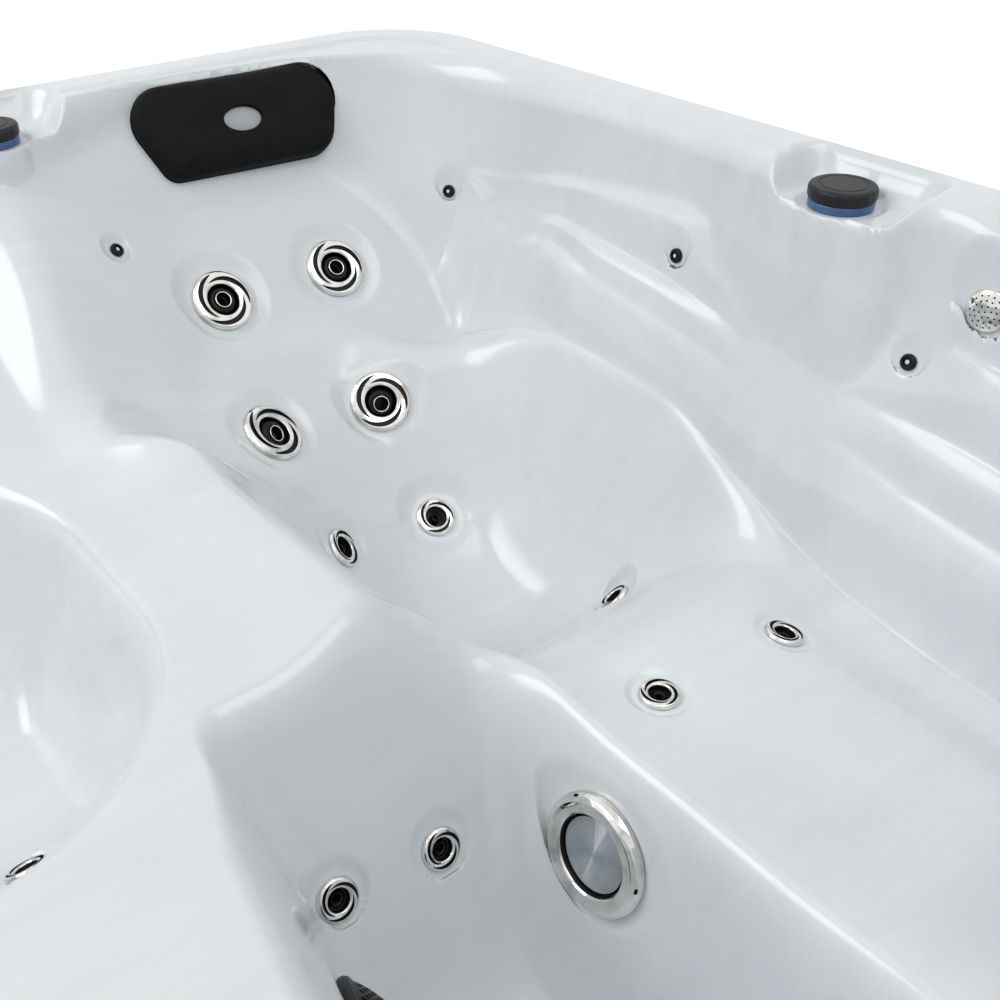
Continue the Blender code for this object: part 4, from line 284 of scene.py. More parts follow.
# Where the well's rolled rim widens, and where the lounger's back meets its sides softly
WELL_ROLL_START_X = 0.12
WELL_ROLL_X = 0.28
WELL_ROLL_START_Y = -0.10
WELL_ROLL_Y = -0.25
BACK_SOFT_START_Y = 0.36
BACK_SOFT_Y = 0.62
BACK_SIDE_SHARE = 0.72
WALL_FOOT_BLEND = 0.06


def backs_depth(x, y):
    """Slope of the seat backs on the far wall, down to the seats' rims."""
    seat = along(y, SEAT_BACK_Y_SHARES, SEAT_BACK_DEPTH_SHARES)
    shoulder = along(y, SEAT_BACK_Y_SHARES, SHOULDER_DEPTH_SHARES)
    lounger = along(y, BACK_Y_SHARES, BACK_DEPTH_SHARES)
    to_shoulder = ramp(x, SHOULDER_LOW_X, SHOULDER_X)
    to_lounger = ramp(x, SHOULDER_X, SHOULDER_HIGH_X)
    left = seat * (1 - to_shoulder) + shoulder * to_shoulder
    return left * (1 - to_lounger) + lounger * to_lounger


def plateau_depth(x, y):
    """Level between the hollows: armrests, the crest beside the leg run, the wall's foot."""
    plain = along(y, PLATEAU_Y_SHARES, PLATEAU_DEPTH_SHARES)
    crest = along(y, CREST_Y_SHARES, CREST_DEPTH_SHARES)
    foot = along(y, LEDGE_Y_SHARES, LEDGE_DEPTH_SHARES)
    to_crest = ramp(x, PLATEAU_EDGE_X, CREST_X)
    to_foot = ramp(x, LEDGE_START_X, LEDGE_X)
    return (plain * (1 - to_crest) + crest * to_crest) * (1 - to_foot) + foot * to_foot


# Three ledges that fan out along the right wall from one point near the corner
FAN_START_Y = 0.70
FAN_LENGTH = 0.95
FAN_POWER = 0.8
FAN_Y_SHARES = (0.667, 0.381, 0.095, -0.095, -0.286, -0.571)
FAN_DEPTH_SHARES = ((0.206, 0.160, 0.130, 0.150, 0.212, 0.275),
                    (0.212, 0.244, 0.281, 0.300, 0.338, 0.375),
                    (0.219, 0.281, 0.331, 0.362, 0.431, 0.475))
FAN_OPENING_SHARE = 2.2
FAN_STEEP_SHARE = 0.5


def ledge_wall(inside, y, share):
    """Depth of the basin's wall, with the fanned ledges where share is above zero."""
    t = np.clip((FAN_START_Y - y) / FAN_LENGTH, 0, 1) ** FAN_POWER
    open_share = np.clip(t * FAN_OPENING_SHARE, 0, 1)
    width = LEDGE_WIDTH * open_share * share
    roll = LEDGE_ROLL_BLEND * open_share + MERGE_DISTANCE
    slope = WALL_SLOPE + (LEDGE_WALL_SLOPE - WALL_SLOPE) * ramp(t, 0, FAN_STEEP_SHARE) * share
    wall = rolled_edge(inside, WALL_ROLL, slope)
    edge = 0 * inside
    level = 0 * inside
    depth = None
    for depth_shares in FAN_DEPTH_SHARES:
        ledge_level = along(y, FAN_Y_SHARES, depth_shares)
        ledge_edge = edge + (ledge_level - level) / slope
        ledge = ledge_level + LEDGE_SLOPE * (inside - ledge_edge)
        step = smooth_min(wall, ledge, LEDGE_BLEND * open_share + MERGE_DISTANCE)
        depth = step if depth is None else smooth_max(depth, step, roll)
        edge = ledge_edge + width
        level = ledge_level + LEDGE_SLOPE * width
        wall = level + slope * (inside - edge)
    return smooth_max(depth, wall, roll)


# Shelves that the two diverter valves stand on: open to the basin, where the wall swells out
SHELF_CORNER = 0.045
SHELF_LEAD = 0.02
SHELF_BLEND = 0.012
RIGHT_VALVE = (0.960, -0.048)
FAR_VALVE = (0.185, 0.945)
RIGHT_SHELF = (0.920, -0.060, 0.110, 0.105)
FAR_SHELF = (0.185, 0.915, 0.115, 0.110)
SWELL = 0.042
SWELL_FLAT = 0.07
SWELL_END = 0.28
SWELL_REACH = 0.10
SWELL_START = 0.40
SWELL_FULL = 0.70

# Deck in the foot corner, which the filter drops into
DECK_X = 0.80
DECK_Y = -0.96
DECK_HALF_X = 0.34
DECK_HALF_Y = 0.175
DECK_CORNER = 0.08


def with_shelf(x, y, depth, shelf):
    """The depth with a shelf sunk into the lip."""
    inside = inside_box(x, y, *shelf, SHELF_CORNER)
    recess = smooth_min(SHELF_SLOPE * inside + SHELF_LEAD, SHELF_DEPTH, BLEND_FINE)
    return smooth_max(depth, recess, SHELF_BLEND)


# What the seen wall swells farther, right in front of the valves
FRONT_SWELL = 0.022
FRONT_FLAT = 0.06
FRONT_END = 0.14
FRONT_REACH = 0.15


def wall_swell(x, y, inside, swell, flat, end, reach):
    """How far the top of the basin's wall swells inward in front of the two valves."""
    beside_right = 1 - ramp(np.abs(y - RIGHT_VALVE[1]), flat, end)
    beside_far = 1 - ramp(np.abs(x - FAR_VALVE[0]), flat, end)
    right = beside_right * ramp(x, SWELL_START, SWELL_FULL)
    far = beside_far * ramp(y, SWELL_START, SWELL_FULL)
    return swell * np.maximum(right, far) * (1 - ramp(inside, 0, reach))


PIN_CLEAR_ASPECT = 1.4
PIN_CLEAR_START = 0.02
PIN_CLEAR_END = 0.08


def clear_of_pins(x, y):
    """0 close to a lamp pin and 1 away from it, so that the wall there suits the pin's seat."""
    clear = np.ones_like(x)
    for name, seat in ROUND.items():
        if name.startswith("lamp_pin"):
            away = np.hypot((x - seat.x) * PIN_CLEAR_ASPECT, y - seat.y)
            clear = np.minimum(clear, ramp(away, PIN_CLEAR_START, PIN_CLEAR_END))
    return clear


def basin_depth(x, y, full=False):
    """Depth of the shell's upper surface below the lip at any place in plan.

    The full form is what is seen; the other one is the solid's, on which the seats are placed.
    """
    x = np.asarray(x, float)
    y = np.asarray(y, float)
    basin_half = HALF - LIP_WIDTH
    inside = inside_box(x, y, 0, 0, basin_half, basin_half, BASIN_CORNER)
    deck = inside_box(x, y, DECK_X, DECK_Y, DECK_HALF_X, DECK_HALF_Y, DECK_CORNER)
    inside = smooth_min(inside, -deck, BLEND_SOFT)
    swollen = inside - wall_swell(x, y, inside, SWELL, SWELL_FLAT, SWELL_END, SWELL_REACH)
    edge = inside
    if full:
        more = wall_swell(x, y, inside, FRONT_SWELL, FRONT_FLAT, FRONT_END, FRONT_REACH)
        edge = inside - (inside - swollen) * clear_of_pins(x, y) - more
        swollen = swollen - more
    wall = ledge_wall(swollen, y, ramp(x, RIGHT_WALL_START_X, RIGHT_WALL_X))
    floor = smooth_min(plateau_depth(x, y), backs_depth(x, y), BLEND_SMALL)
    in_corner = ramp(y, CORNER_START_Y, CORNER_SOFT_Y) * ramp(x, CORNER_SOFT_X, CORNER_END_X)
    corner_soft = CORNER_SOFT * in_corner
    depth = smooth_min(wall, floor, WALL_FOOT_BLEND + corner_soft)
    limit = rolled_edge(edge, SEAT_ROLL, SEAT_WALL_SLOPE)
    within = ramp(limit, 0, SEAT_ROLL)
    lounger = smooth_min(lounger_depth(x, y), limit, BLEND_SMALL + corner_soft)
    bowl = smooth_min(bowl_depth(x, y), limit, BLEND_SMALL)
    corner_seat = smooth_min(corner_seat_depth(x, y), limit, BLEND_SMALL)
    back_soft = BLEND_SMALL + BLEND_SOFT * ramp(y, BACK_SOFT_START_Y, BACK_SOFT_Y)
    depth = smooth_max(depth, lounger, back_soft * within + MERGE_DISTANCE)
    depth = smooth_max(depth, bowl, BLEND_SOFT * within + MERGE_DISTANCE)
    depth = smooth_max(depth, corner_seat, BLEND_SOFT * within + MERGE_DISTANCE)
    rolled = np.maximum(ramp(x, WELL_ROLL_START_X, WELL_ROLL_X),
                        1 - ramp(y, WELL_ROLL_Y, WELL_ROLL_START_Y))
    depth = smooth_max(depth, well_depth(x, y), BLEND_SOFT + (BLEND_ROLL - BLEND_SOFT) * rolled)
    rim = inside_box(x, y, 0, 0, HALF, HALF, LIP_CORNER)
    band = LIP_STEP * ramp(rim, LIP_BAND - LIP_STEP, LIP_BAND + LIP_STEP)
    depth = np.maximum(depth, 0) + band
    for shelf in (RIGHT_SHELF, FAR_SHELF):
        depth = with_shelf(x, y, depth, shelf)
    return np.maximum(depth, 0)


SLOPE_STENCIL = 0.004


def basin_slope(x, y, reach=SLOPE_STENCIL):
    """Rates of change of the depth along X and Y."""
    along_x = (basin_depth(x + reach, y) - basin_depth(x - reach, y)) / (2 * reach)
    along_y = (basin_depth(x, y + reach) - basin_depth(x, y - reach)) / (2 * reach)
    return along_x, along_y


# Clearances of the fittings' seats, and how far they are let in
SEAT_CLEARANCE = 0.0012
SEAT_SINK = 0.004
GROUND_MARGIN = 0.006
LEVEL_SHARE = 0.004

# Radii of the fittings, of their barrels and of the dishes round them
LARGE_JET = 0.052
LARGE_BARREL = 0.034
LARGE_DISH = 0.086
MEDIUM_JET = 0.034
MEDIUM_BARREL = 0.022
MEDIUM_DISH = 0.072
SMALL_JET = 0.026
SMALL_BARREL = 0.017
SMALL_DISH = 0.044
LAMP_PIN = 0.011
LAMP_PIN_BARREL = 0.006
MAIN_LIGHT = 0.0745
LIGHT_DISH = 0.110
MAIN_LIGHT_BARREL = 0.046
NECK_JET = 0.027
NECK_BARREL = 0.016
NECK_DISH = 0.060
SUCTION = 0.085
SUCTION_DISH = 0.115
SUCTION_BARREL = 0.036
VALVE_RING = 0.045
VALVE_BARREL = 0.022
FILTER_LID = 0.088
FILTER_BORE = 0.072
FITTING_MARGIN = 0.018

# Facets round the fittings
LARGE_SIDES = 15
MEDIUM_SIDES = 16
SMALL_SIDES = 12
FINE_SIDES = 20

# Places of the jets in plan
LARGE_JETS = {"upper_right": (0.660, 0.755), "upper_left": (0.440, 0.758),
              "lower_right": (0.616, 0.570), "lower_left": (0.402, 0.562)}
MEDIUM_JETS = {"lumbar_right": (0.619, 0.425), "lumbar_left": (0.412, 0.392),
               "bucket_right": (-0.240, 0.440), "bucket_left": (-0.490, 0.440)}
SMALL_JETS = {"calf_right": (0.662, -0.269), "calf_left": (0.452, -0.250),
              "foot_right": (0.173, -0.178), "foot_left": (0.035, -0.171),
              "hip": (0.696, 0.064), "bucket_thigh": (-0.215, 0.080),
              "corner_seat": (-0.50, -0.77)}

# Places of the fittings on steep walls: the place along the wall and its depth there
LIGHT_Y = -0.312
LIGHT_DEPTH = 0.575
LIGHT_START_X = 0.10
SUCTION_Y = -0.345
SUCTION_FITTING_DEPTH = 0.60
SUCTION_START_X = 0.20
NECK_Y = -0.289
NECK_DEPTH = 0.082
NECK_START_X = 0.80
PIN_FAR_X = 0.298
PIN_FAR_DEPTH = 0.205
PIN_CORNER_Y = 0.725
PIN_CORNER_DEPTH = 0.208
PIN_MIDDLE_Y = 0.193
PIN_MIDDLE_DEPTH = 0.166
PIN_NEAR_Y = -0.215
PIN_NEAR_DEPTH = 0.195
PIN_START_SHARE = 0.57

# Headrest pillows, on the slope above the lounger and above the bucket seat
PILLOW_Y = 0.920
PILLOW_X = {"lounger": 0.586, "bucket": -0.365}
PILLOW_HALF_WIDTH = 0.212
PILLOW_HALF_HEIGHT = 0.078
PILLOW_CORNER = 0.06
PILLOW_REACH = 0.05
PILLOW_SOFT = 0.024
INSERT_HALF_WIDTH = 0.032
INSERT_HALF_HEIGHT = 0.019

# Touch panel let into the lip on the near side
PANEL_X = -0.36
PANEL_INSET = 0.0475
PANEL_HALF_WIDTH = 0.082
PANEL_HALF_HEIGHT = 0.023
PANEL_CORNER = 0.010
PANEL_SOFT = 0.006

# Flat of the foot well's floor, which a cradle carries
SUPPORT_X = 0.15
SUPPORT_Y = -0.50
SUPPORT_HALF_X = 0.055
SUPPORT_HALF_Y = 0.085
SUPPORT_CORNER = 0.025
SUPPORT_SOFT = 0.035

# Filter in the foot corner's deck
FILTER_X = 0.80
FILTER_Y = -0.887


class Seat:
    """A flat round seat let into the shell: where it is, which way it faces, how wide."""

    def __init__(self, place, radius, barrel, sides, dish=None, reach=SLOPE_STENCIL):
        x, y = place
        along_x, along_y = basin_slope(x, y, reach)
        self.x = x
        self.y = y
        self.rate_x = float(along_x)
        self.rate_y = float(along_y)
        self.radius = radius
        self.barrel = barrel
        self.sides = sides
        self.flat = radius + SEAT_CLEARANCE
        self.soft = (dish or radius + FITTING_MARGIN) - self.flat - GROUND_MARGIN
        length = math.sqrt(1 + self.rate_x ** 2 + self.rate_y ** 2)
        self.depth = float(basin_depth(x, y)) + SEAT_SINK * length
        self.ground = self.depth + GAP * length
        self.normal = Vector((self.rate_x, self.rate_y, 1)) / length
        self.place = Vector((x, y, HEIGHT - self.depth))

    def frame(self):
        """Matrix whose Z is the seat's normal and whose Y points up the surface."""
        side = Vector((0, 0, 1)).cross(self.normal)
        if side.length < LEVEL_SHARE:
            side = Vector((1, 0, 0))
        side.normalize()
        up = self.normal.cross(side)
        turned = Matrix((side, up, self.normal)).transposed()
        return Matrix.Translation(self.place) @ turned.to_4x4()

    def past_edge(self, dx, dy):
        rise = self.rate_x * dx + self.rate_y * dy
        return np.sqrt(dx * dx + dy * dy + rise * rise) - self.flat - GROUND_MARGIN

    def pressed(self, x, y, depth):
        """The depth with this seat's flat ground, a gap below it, and its soft edge pressed in."""
        dx = x - self.x
        dy = y - self.y
        plane = self.ground + self.rate_x * dx + self.rate_y * dy
        weight = 1 - ramp(self.past_edge(dx, dy), 0, self.soft)
        return depth * (1 - weight) + plane * weight


class LongSeat(Seat):
    """A flat seat with a rectangular outline, for a pillow or a panel."""

    def __init__(self, place, half_width, half_height, corner, soft, reach=SLOPE_STENCIL):
        super().__init__(place, half_width, 0, 0, reach=reach)
        self.half_width = half_width + SEAT_CLEARANCE
        self.half_height = half_height + SEAT_CLEARANCE
        self.corner = corner
        self.soft = soft
        self.stretch = math.sqrt(1 + self.rate_y ** 2)

    def past_edge(self, dx, dy):
        inside = inside_box(dx, dy * self.stretch, 0, 0, self.half_width, self.half_height,
                            self.corner)
        return -inside - GROUND_MARGIN


def wall_place(fixed, depth, start, end, along_x=True):
    """Place on a steep wall where the basin has the given depth, found by halving."""
    deep = start
    shallow = end
    for _ in range(HALVINGS):
        middle = (deep + shallow) / 2
        there = basin_depth(middle, fixed) if along_x else basin_depth(fixed, middle)
        if there > depth:
            deep = middle
        else:
            shallow = middle
    return (deep, fixed) if along_x else (fixed, deep)


def round_seats():
    """Every round fitting's seat, by the name of the fitting."""
    seats = {}
    for name, place in LARGE_JETS.items():
        seats["jet_" + name] = Seat(place, LARGE_JET, LARGE_BARREL, LARGE_SIDES, LARGE_DISH)
    for name, place in MEDIUM_JETS.items():
        seats["jet_" + name] = Seat(place, MEDIUM_JET, MEDIUM_BARREL, SMALL_SIDES, MEDIUM_DISH)
    for name, place in SMALL_JETS.items():
        seats["jet_" + name] = Seat(place, SMALL_JET, SMALL_BARREL, SMALL_SIDES, SMALL_DISH)
    pin_start = HALF * PIN_START_SHARE
    pins = {"far": wall_place(PIN_FAR_X, PIN_FAR_DEPTH, pin_start, HALF, along_x=False),
            "corner": wall_place(PIN_CORNER_Y, PIN_CORNER_DEPTH, pin_start, HALF),
            "middle": wall_place(PIN_MIDDLE_Y, PIN_MIDDLE_DEPTH, pin_start, HALF),
            "near": wall_place(PIN_NEAR_Y, PIN_NEAR_DEPTH, pin_start, HALF)}
    for name, place in pins.items():
        seats["lamp_pin_" + name] = Seat(place, LAMP_PIN, LAMP_PIN_BARREL, SMALL_SIDES)
    light = wall_place(LIGHT_Y, LIGHT_DEPTH, LIGHT_START_X, HALF)
    seats["light"] = Seat(light, MAIN_LIGHT, MAIN_LIGHT_BARREL, FINE_SIDES, LIGHT_DISH)
    suction = wall_place(SUCTION_Y, SUCTION_FITTING_DEPTH, SUCTION_START_X, -HALF)
    seats["suction"] = Seat(suction, SUCTION, SUCTION_BARREL, FINE_SIDES, SUCTION_DISH)
    neck = wall_place(NECK_Y, NECK_DEPTH, NECK_START_X, HALF)
    seats["neck_jet"] = Seat(neck, NECK_JET, NECK_BARREL, MEDIUM_SIDES, NECK_DISH)
    seats["valve_right"] = Seat(RIGHT_VALVE, VALVE_RING, VALVE_BARREL, FINE_SIDES)
    seats["valve_far"] = Seat(FAR_VALVE, VALVE_RING, VALVE_BARREL, FINE_SIDES)
    seats["filter"] = Seat((FILTER_X, FILTER_Y), FILTER_LID, FILTER_BORE, FINE_SIDES)
    return seats


def long_seats():
    """The flat places of the pillows, the panel and the foot well's floor, by name."""
    seats = {}
    for name, x in PILLOW_X.items():
        seats["pillow_" + name] = LongSeat((x, PILLOW_Y), PILLOW_HALF_WIDTH, PILLOW_HALF_HEIGHT,
                                           PILLOW_CORNER, PILLOW_SOFT, PILLOW_REACH)
    seats["well_floor"] = LongSeat((SUPPORT_X, SUPPORT_Y), SUPPORT_HALF_X, SUPPORT_HALF_Y,
                                   SUPPORT_CORNER, SUPPORT_SOFT)
    seats["panel"] = LongSeat((PANEL_X, PANEL_INSET - HALF), PANEL_HALF_WIDTH,
                              PANEL_HALF_HEIGHT, PANEL_CORNER, PANEL_SOFT)
    return seats


ROUND = round_seats()
LONG = long_seats()
STEEP_SOFT = {"neck_jet": 0.030, "lamp_pin_far": 0.010, "lamp_pin_corner": 0.012,
              "lamp_pin_middle": 0.012, "lamp_pin_near": 0.012}
for name, soft in STEEP_SOFT.items():
    ROUND[name].soft = soft
SEATS = list(ROUND.values()) + [seat for name, seat in LONG.items() if "pillow" not in name]


# Meshes and objects

SHARP_ANGLE = 35


def linked(name, data):
    """A new object in the scene."""
    made = bpy.data.objects.new(name, data)
    bpy.context.scene.collection.objects.link(made)
    return made


def finished(mesh, *finishes):
    for finish in finishes:
        mesh.materials.append(finish)
    return mesh


def as_mesh(name, shape):
    mesh = bpy.data.meshes.new(name)
    shape.to_mesh(mesh)
    shape.free()
    return mesh


def shaded(mesh, angle):
    mesh.shade_smooth()
    mesh.set_sharp_from_angle(angle=math.radians(angle))
    return mesh


def applied(made):
    """The mesh of an object with its modifiers applied. The object goes."""
    graph = bpy.context.evaluated_depsgraph_get()
    mesh = bpy.data.meshes.new_from_object(made.evaluated_get(graph))
    bpy.data.objects.remove(made)
    return mesh


def add_piece(name, mesh, finish, body, replaced=(), matrix=None):
    """Link a mesh as a piece of the tub that rides on a body and stands for CAD nodes."""
    made = linked(name, mesh)
    if matrix is not None:
        made.matrix_world = matrix
    if not mesh.materials:
        mesh.materials.append(finish)
    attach(made, body)
    if replaced:
        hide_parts(*replaced)
    return made


def smooth_mesh(name, shape, angle=SHARP_ANGLE):
    bmesh.ops.recalc_face_normals(shape, faces=shape.faces)
    return shaded(as_mesh(name, shape), angle)


def circle(radius, height, sides):
    if radius == 0:
        return [(0, 0, height)]
    turns = [math.tau * k / sides for k in range(sides)]
    return [(radius * math.cos(turn), radius * math.sin(turn), height) for turn in turns]


def add_rings(shape, rings, caps=True, around=False, slot=0):
    """Join rings of points with faces; a ring of one point is a pole."""
    loops = [[shape.verts.new(point) for point in ring] for ring in rings]
    pairs = list(zip(loops, loops[1:]))
    if around:
        pairs.append((loops[-1], loops[0]))
    for low, high in pairs:
        count = max(len(low), len(high))
        for k in range(count):
            n = (k + 1) % count
            corners = (low[k % len(low)], low[n % len(low)],
                       high[n % len(high)], high[k % len(high)])
            corners = tuple(dict.fromkeys(corners))
            if len(corners) > 2:
                shape.faces.new(corners).material_index = slot
    if caps and not around:
        for cap in (loops[0], loops[-1]):
            if len(cap) > 1:
                shape.faces.new(cap).material_index = slot
    return loops


def turned(name, profile, sides, angle=SHARP_ANGLE, closed=False):
    """Turn a (radius, height) profile round Z: a closed ring, or a skin that is left open."""
    shape = bmesh.new()
    add_rings(shape, [circle(r, z, sides) for r, z in profile], caps=False, around=closed)
    return smooth_mesh(name, shape, angle)


def fillet(profile, radii, steps=5):
    """Round the corners of a (radius, height) profile by the radii given, zero for none."""
    points = [profile[0]]
    for before, here, after, radius in zip(profile, profile[1:], profile[2:], radii):
        if radius == 0:
            points.append(here)
            continue
        a = Vector(before) - Vector(here)
        b = Vector(after) - Vector(here)
        half = a.angle(b) / 2
        cut = min(radius / math.tan(half), a.length * 0.49, b.length * 0.49)
        start = Vector(here) + a.normalized() * cut
        end = Vector(here) + b.normalized() * cut
        for k in range(steps + 1):
            t = k / steps
            points.append(tuple(start * (1 - t) ** 2 + Vector(here) * 2 * t * (1 - t)
                                + end * t * t))
    points.append(profile[-1])
    return points


# Fine sheet of the shell: its cells along a side and the share that is kept. Its lines lie closer
# where the slope that most of a line stays under is steeper.
SHEET_CELLS = 560
SHEET_KEEP = 0.26
STEEP_LIMIT = 3.0
ROLL_STEPS = 8
SKIRT_BEVEL = 0.002
SHELL_SHARP_ANGLE = 60
SLOPE_SAMPLES = 401
SLOPE_PERCENTILE = 88
SQUARE_POWER = 8
EDGE_ROUND = 0.001
NORMAL_REACH = 0.0012

# Radii of the openings under the fittings
OPENINGS = {"large": 0.040, "medium": 0.026, "small": 0.0195}
SUCTION_OPENING = 0.062
FILTER_OPENING = 0.080
OPENING_SIDES = 96
OPENING_REACH = 1.8


def weighted_steps(cells, weight, places):
    """Steps from end to end that lie closer where the weight is larger."""
    total = np.concatenate([[0], np.cumsum((weight[1:] + weight[:-1]) / 2 * np.diff(places))])
    return np.interp(np.linspace(0, total[-1], cells + 1), total, places)


def outline_scale(x, y):
    """Factor that brings a point out to the lip's flat outline along its own direction."""
    half = HALF - LIP_ROLL
    low = np.zeros_like(x)
    high = 2 * half / np.maximum(np.maximum(np.abs(x), np.abs(y)), LIP_ROLL)
    for _ in range(HALVINGS):
        middle = (low + high) / 2
        inside = inside_box(x * middle, y * middle, 0, 0, half, half, LIP_CORNER - LIP_ROLL) > 0
        low = np.where(inside, middle, low)
        high = np.where(inside, high, middle)
    return low


def sheet_grid(cells):
    """Points in plan of the sheet, closer together where the shell is steep."""
    reach = HALF - LIP_ROLL
    places = np.linspace(-reach, reach, SLOPE_SAMPLES)
    x, y = np.meshgrid(places, places, indexing="ij")
    slope_x, slope_y = basin_slope(x, y)
    steps = []
    for slope, axis in ((slope_x, 1), (slope_y, 0)):
        steep = np.percentile(np.clip(np.abs(slope), 0, STEEP_LIMIT), SLOPE_PERCENTILE, axis=axis)
        steps.append(weighted_steps(cells, 1 + steep, places))
    x, y = np.meshgrid(*steps, indexing="ij")
    share = np.maximum(np.abs(x), np.abs(y)) / reach
    scale = 1 - share ** SQUARE_POWER * (1 - outline_scale(x, y) * share)
    return x * scale, y * scale


def fine_depth(x, y):
    depth = basin_depth(x, y, full=True)
    for seat in SEATS:
        depth = seat.pressed(x, y, depth)
    return np.maximum(depth, 0)


def openings():
    """Places where the sheet is left open under a fitting: a frame and an outline in it."""
    places = []
    for size, jets in (("large", LARGE_JETS), ("medium", MEDIUM_JETS), ("small", SMALL_JETS)):
        places += [("jet_" + jet, OPENINGS[size]) for jet in jets]
    places += [("suction", SUCTION_OPENING), ("filter", FILTER_OPENING)]
    cut = [(ROUND[name].frame(), np.array(circle(radius, 0, OPENING_SIDES))[:, :2])
           for name, radius in places]
    cut += [(pad_frame(name), pillow_outline(PAD_OPENING, 2 * PAD_SIDES)) for name in PILLOW_X]
    return cut


def open_sheet(points, quads):
    """Take the sheet away inside each opening and draw its cut edge onto the outline."""
    for matrix, outline in openings():
        back = np.array(matrix.inverted())
        out = np.array(matrix)
        reach = np.abs(outline).max() * OPENING_REACH
        near = np.where(np.linalg.norm(points - out[:3, 3], axis=1) < reach)[0]
        local = points[near] @ back[:3, :3].T + back[:3, 3]
        side = np.roll(outline, -1, axis=0) - outline
        away = local[:, None, :2] - outline[None]
        cross = side[None, :, 0] * away[..., 1] - side[None, :, 1] * away[..., 0]
        inside = np.zeros(len(points), bool)
        inside[near] = (cross > 0).all(axis=1)
        gone = inside[quads].any(axis=1)
        edge = np.setdiff1d(np.unique(quads[gone]), np.where(inside)[0])
        quads = quads[~gone]
        local = points[edge] @ back[:3, :3].T + back[:3, 3]
        gap = np.linalg.norm(local[:, None, :2] - outline[None], axis=2)
        local[:, :2] = outline[gap.argmin(axis=1)]
        points[edge] = local @ out[:3, :3].T + out[:3, 3]
    return points, quads


def outer_loop(shape):
    """Vertices of the sheet's outer edge in order, counter-clockwise seen from above."""
    half = HALF - LIP_ROLL
    corner = LIP_CORNER - LIP_ROLL
    follow = {}
    for edge in shape.edges:
        if not edge.is_boundary:
            continue
        place = np.array([v.co for v in edge.verts])
        if inside_box(place[:, 0], place[:, 1], 0, 0, half, half, corner).max() < EDGE_ROUND:
            for v in edge.verts:
                follow.setdefault(v, []).append(edge)
    first = next(iter(follow))
    rim = [first]
    edge = follow[first][0]
    while edge.other_vert(rim[-1]) != first:
        rim.append(edge.other_vert(rim[-1]))
        edge = next(e for e in follow[rim[-1]] if e != edge)
    places = [v.co.copy() for v in rim]
    if sum(a.x * b.y - b.x * a.y for a, b in zip(places, places[1:] + places[:1])) < 0:
        rim.reverse()
    return rim


def make_shell():
    """The visible shell: a fine sheet with holes under the fittings, rolled over at the lip."""
    x, y = sheet_grid(SHEET_CELLS)
    count = SHEET_CELLS + 1
    points = np.stack([x, y, HEIGHT - fine_depth(x, y)], axis=-1).reshape(-1, 3)
    index = np.arange(count * count).reshape(count, count)
    quads = np.stack([index[:-1, :-1], index[1:, :-1], index[1:, 1:], index[:-1, 1:]], axis=-1)
    points, quads = open_sheet(points, quads.reshape(-1, 4))
    kept = np.unique(quads)
    quads = np.searchsorted(kept, quads)
    mesh = bpy.data.meshes.new("sheet")
    mesh.from_pydata(points[kept].tolist(), [], quads.tolist())
    sheet = linked("sheet", mesh)
    fewer = sheet.modifiers.new("fewer", "DECIMATE")
    fewer.ratio = SHEET_KEEP
    shape = bmesh.new()
    shape.from_mesh(applied(sheet))
    rim = outer_loop(shape)
    half = HALF - LIP_CORNER
    outward = []
    for v in rim:
        step = Vector((max(abs(v.co.x) - half, 0), max(abs(v.co.y) - half, 0)))
        step = Vector((math.copysign(step.x, v.co.x), math.copysign(step.y, v.co.y)))
        outward.append(step.normalized())
    rings = [rim]
    steps = [(LIP_ROLL * math.sin(t), LIP_ROLL * (1 - math.cos(t)))
             for t in np.linspace(0, math.pi / 2, ROLL_STEPS + 1)[1:]]
    inner = LIP_ROLL - SHELL_THICKNESS
    steps += [(LIP_ROLL, SKIRT_DEPTH - SKIRT_BEVEL), (LIP_ROLL - SKIRT_BEVEL, SKIRT_DEPTH),
              (inner, SKIRT_DEPTH), (inner, LIP_ROLL)]
    for away, down in steps:
        rings.append([shape.verts.new((v.co.x + away * s.x, v.co.y + away * s.y, HEIGHT - down))
                      for v, s in zip(rim, outward)])
    for upper, lower in zip(rings, rings[1:]):
        for k in range(len(rim)):
            n = (k + 1) % len(rim)
            shape.faces.new((upper[k], lower[k], lower[n], upper[n]))
    bmesh.ops.recalc_face_normals(shape, faces=shape.faces)
    mesh = shaded(as_mesh("tub_shell", shape), SHELL_SHARP_ANGLE)
    set_sheet_normals(mesh)
    add_piece("tub_shell", mesh, acrylic(), ROOT, ["shell"])


def set_sheet_normals(mesh):
    """Shade the sheet by the true slope of the formed surface."""
    count = len(mesh.vertices)
    place = np.zeros(count * 3)
    mesh.vertices.foreach_get("co", place)
    normal = np.zeros(count * 3, np.float32)
    mesh.vertex_normals.foreach_get("vector", normal)
    normal = normal.reshape(-1, 3)
    x, y, _ = place.reshape(-1, 3).T
    reach = NORMAL_REACH
    slope_x = (fine_depth(x + reach, y) - fine_depth(x - reach, y)) / (2 * reach)
    slope_y = (fine_depth(x, y + reach) - fine_depth(x, y - reach)) / (2 * reach)
    true = np.stack([slope_x, slope_y, np.ones_like(x)], axis=-1)
    true /= np.linalg.norm(true, axis=1, keepdims=True)
    inner = inside_box(x, y, 0, 0, HALF, HALF, LIP_CORNER) > LIP_ROLL + EDGE_ROUND
    if normal[inner][:, 2].mean() < 0:
        mesh.flip_normals()
        normal = -normal
    normal[inner] = true[inner]
    mesh.normals_split_custom_set_from_vertices(normal.tolist())


# Materials

def node_material(name):
    made = bpy.data.materials.new(name)
    made.use_nodes = True
    tree = made.node_tree
    return made, tree, tree.nodes["Principled BSDF"]


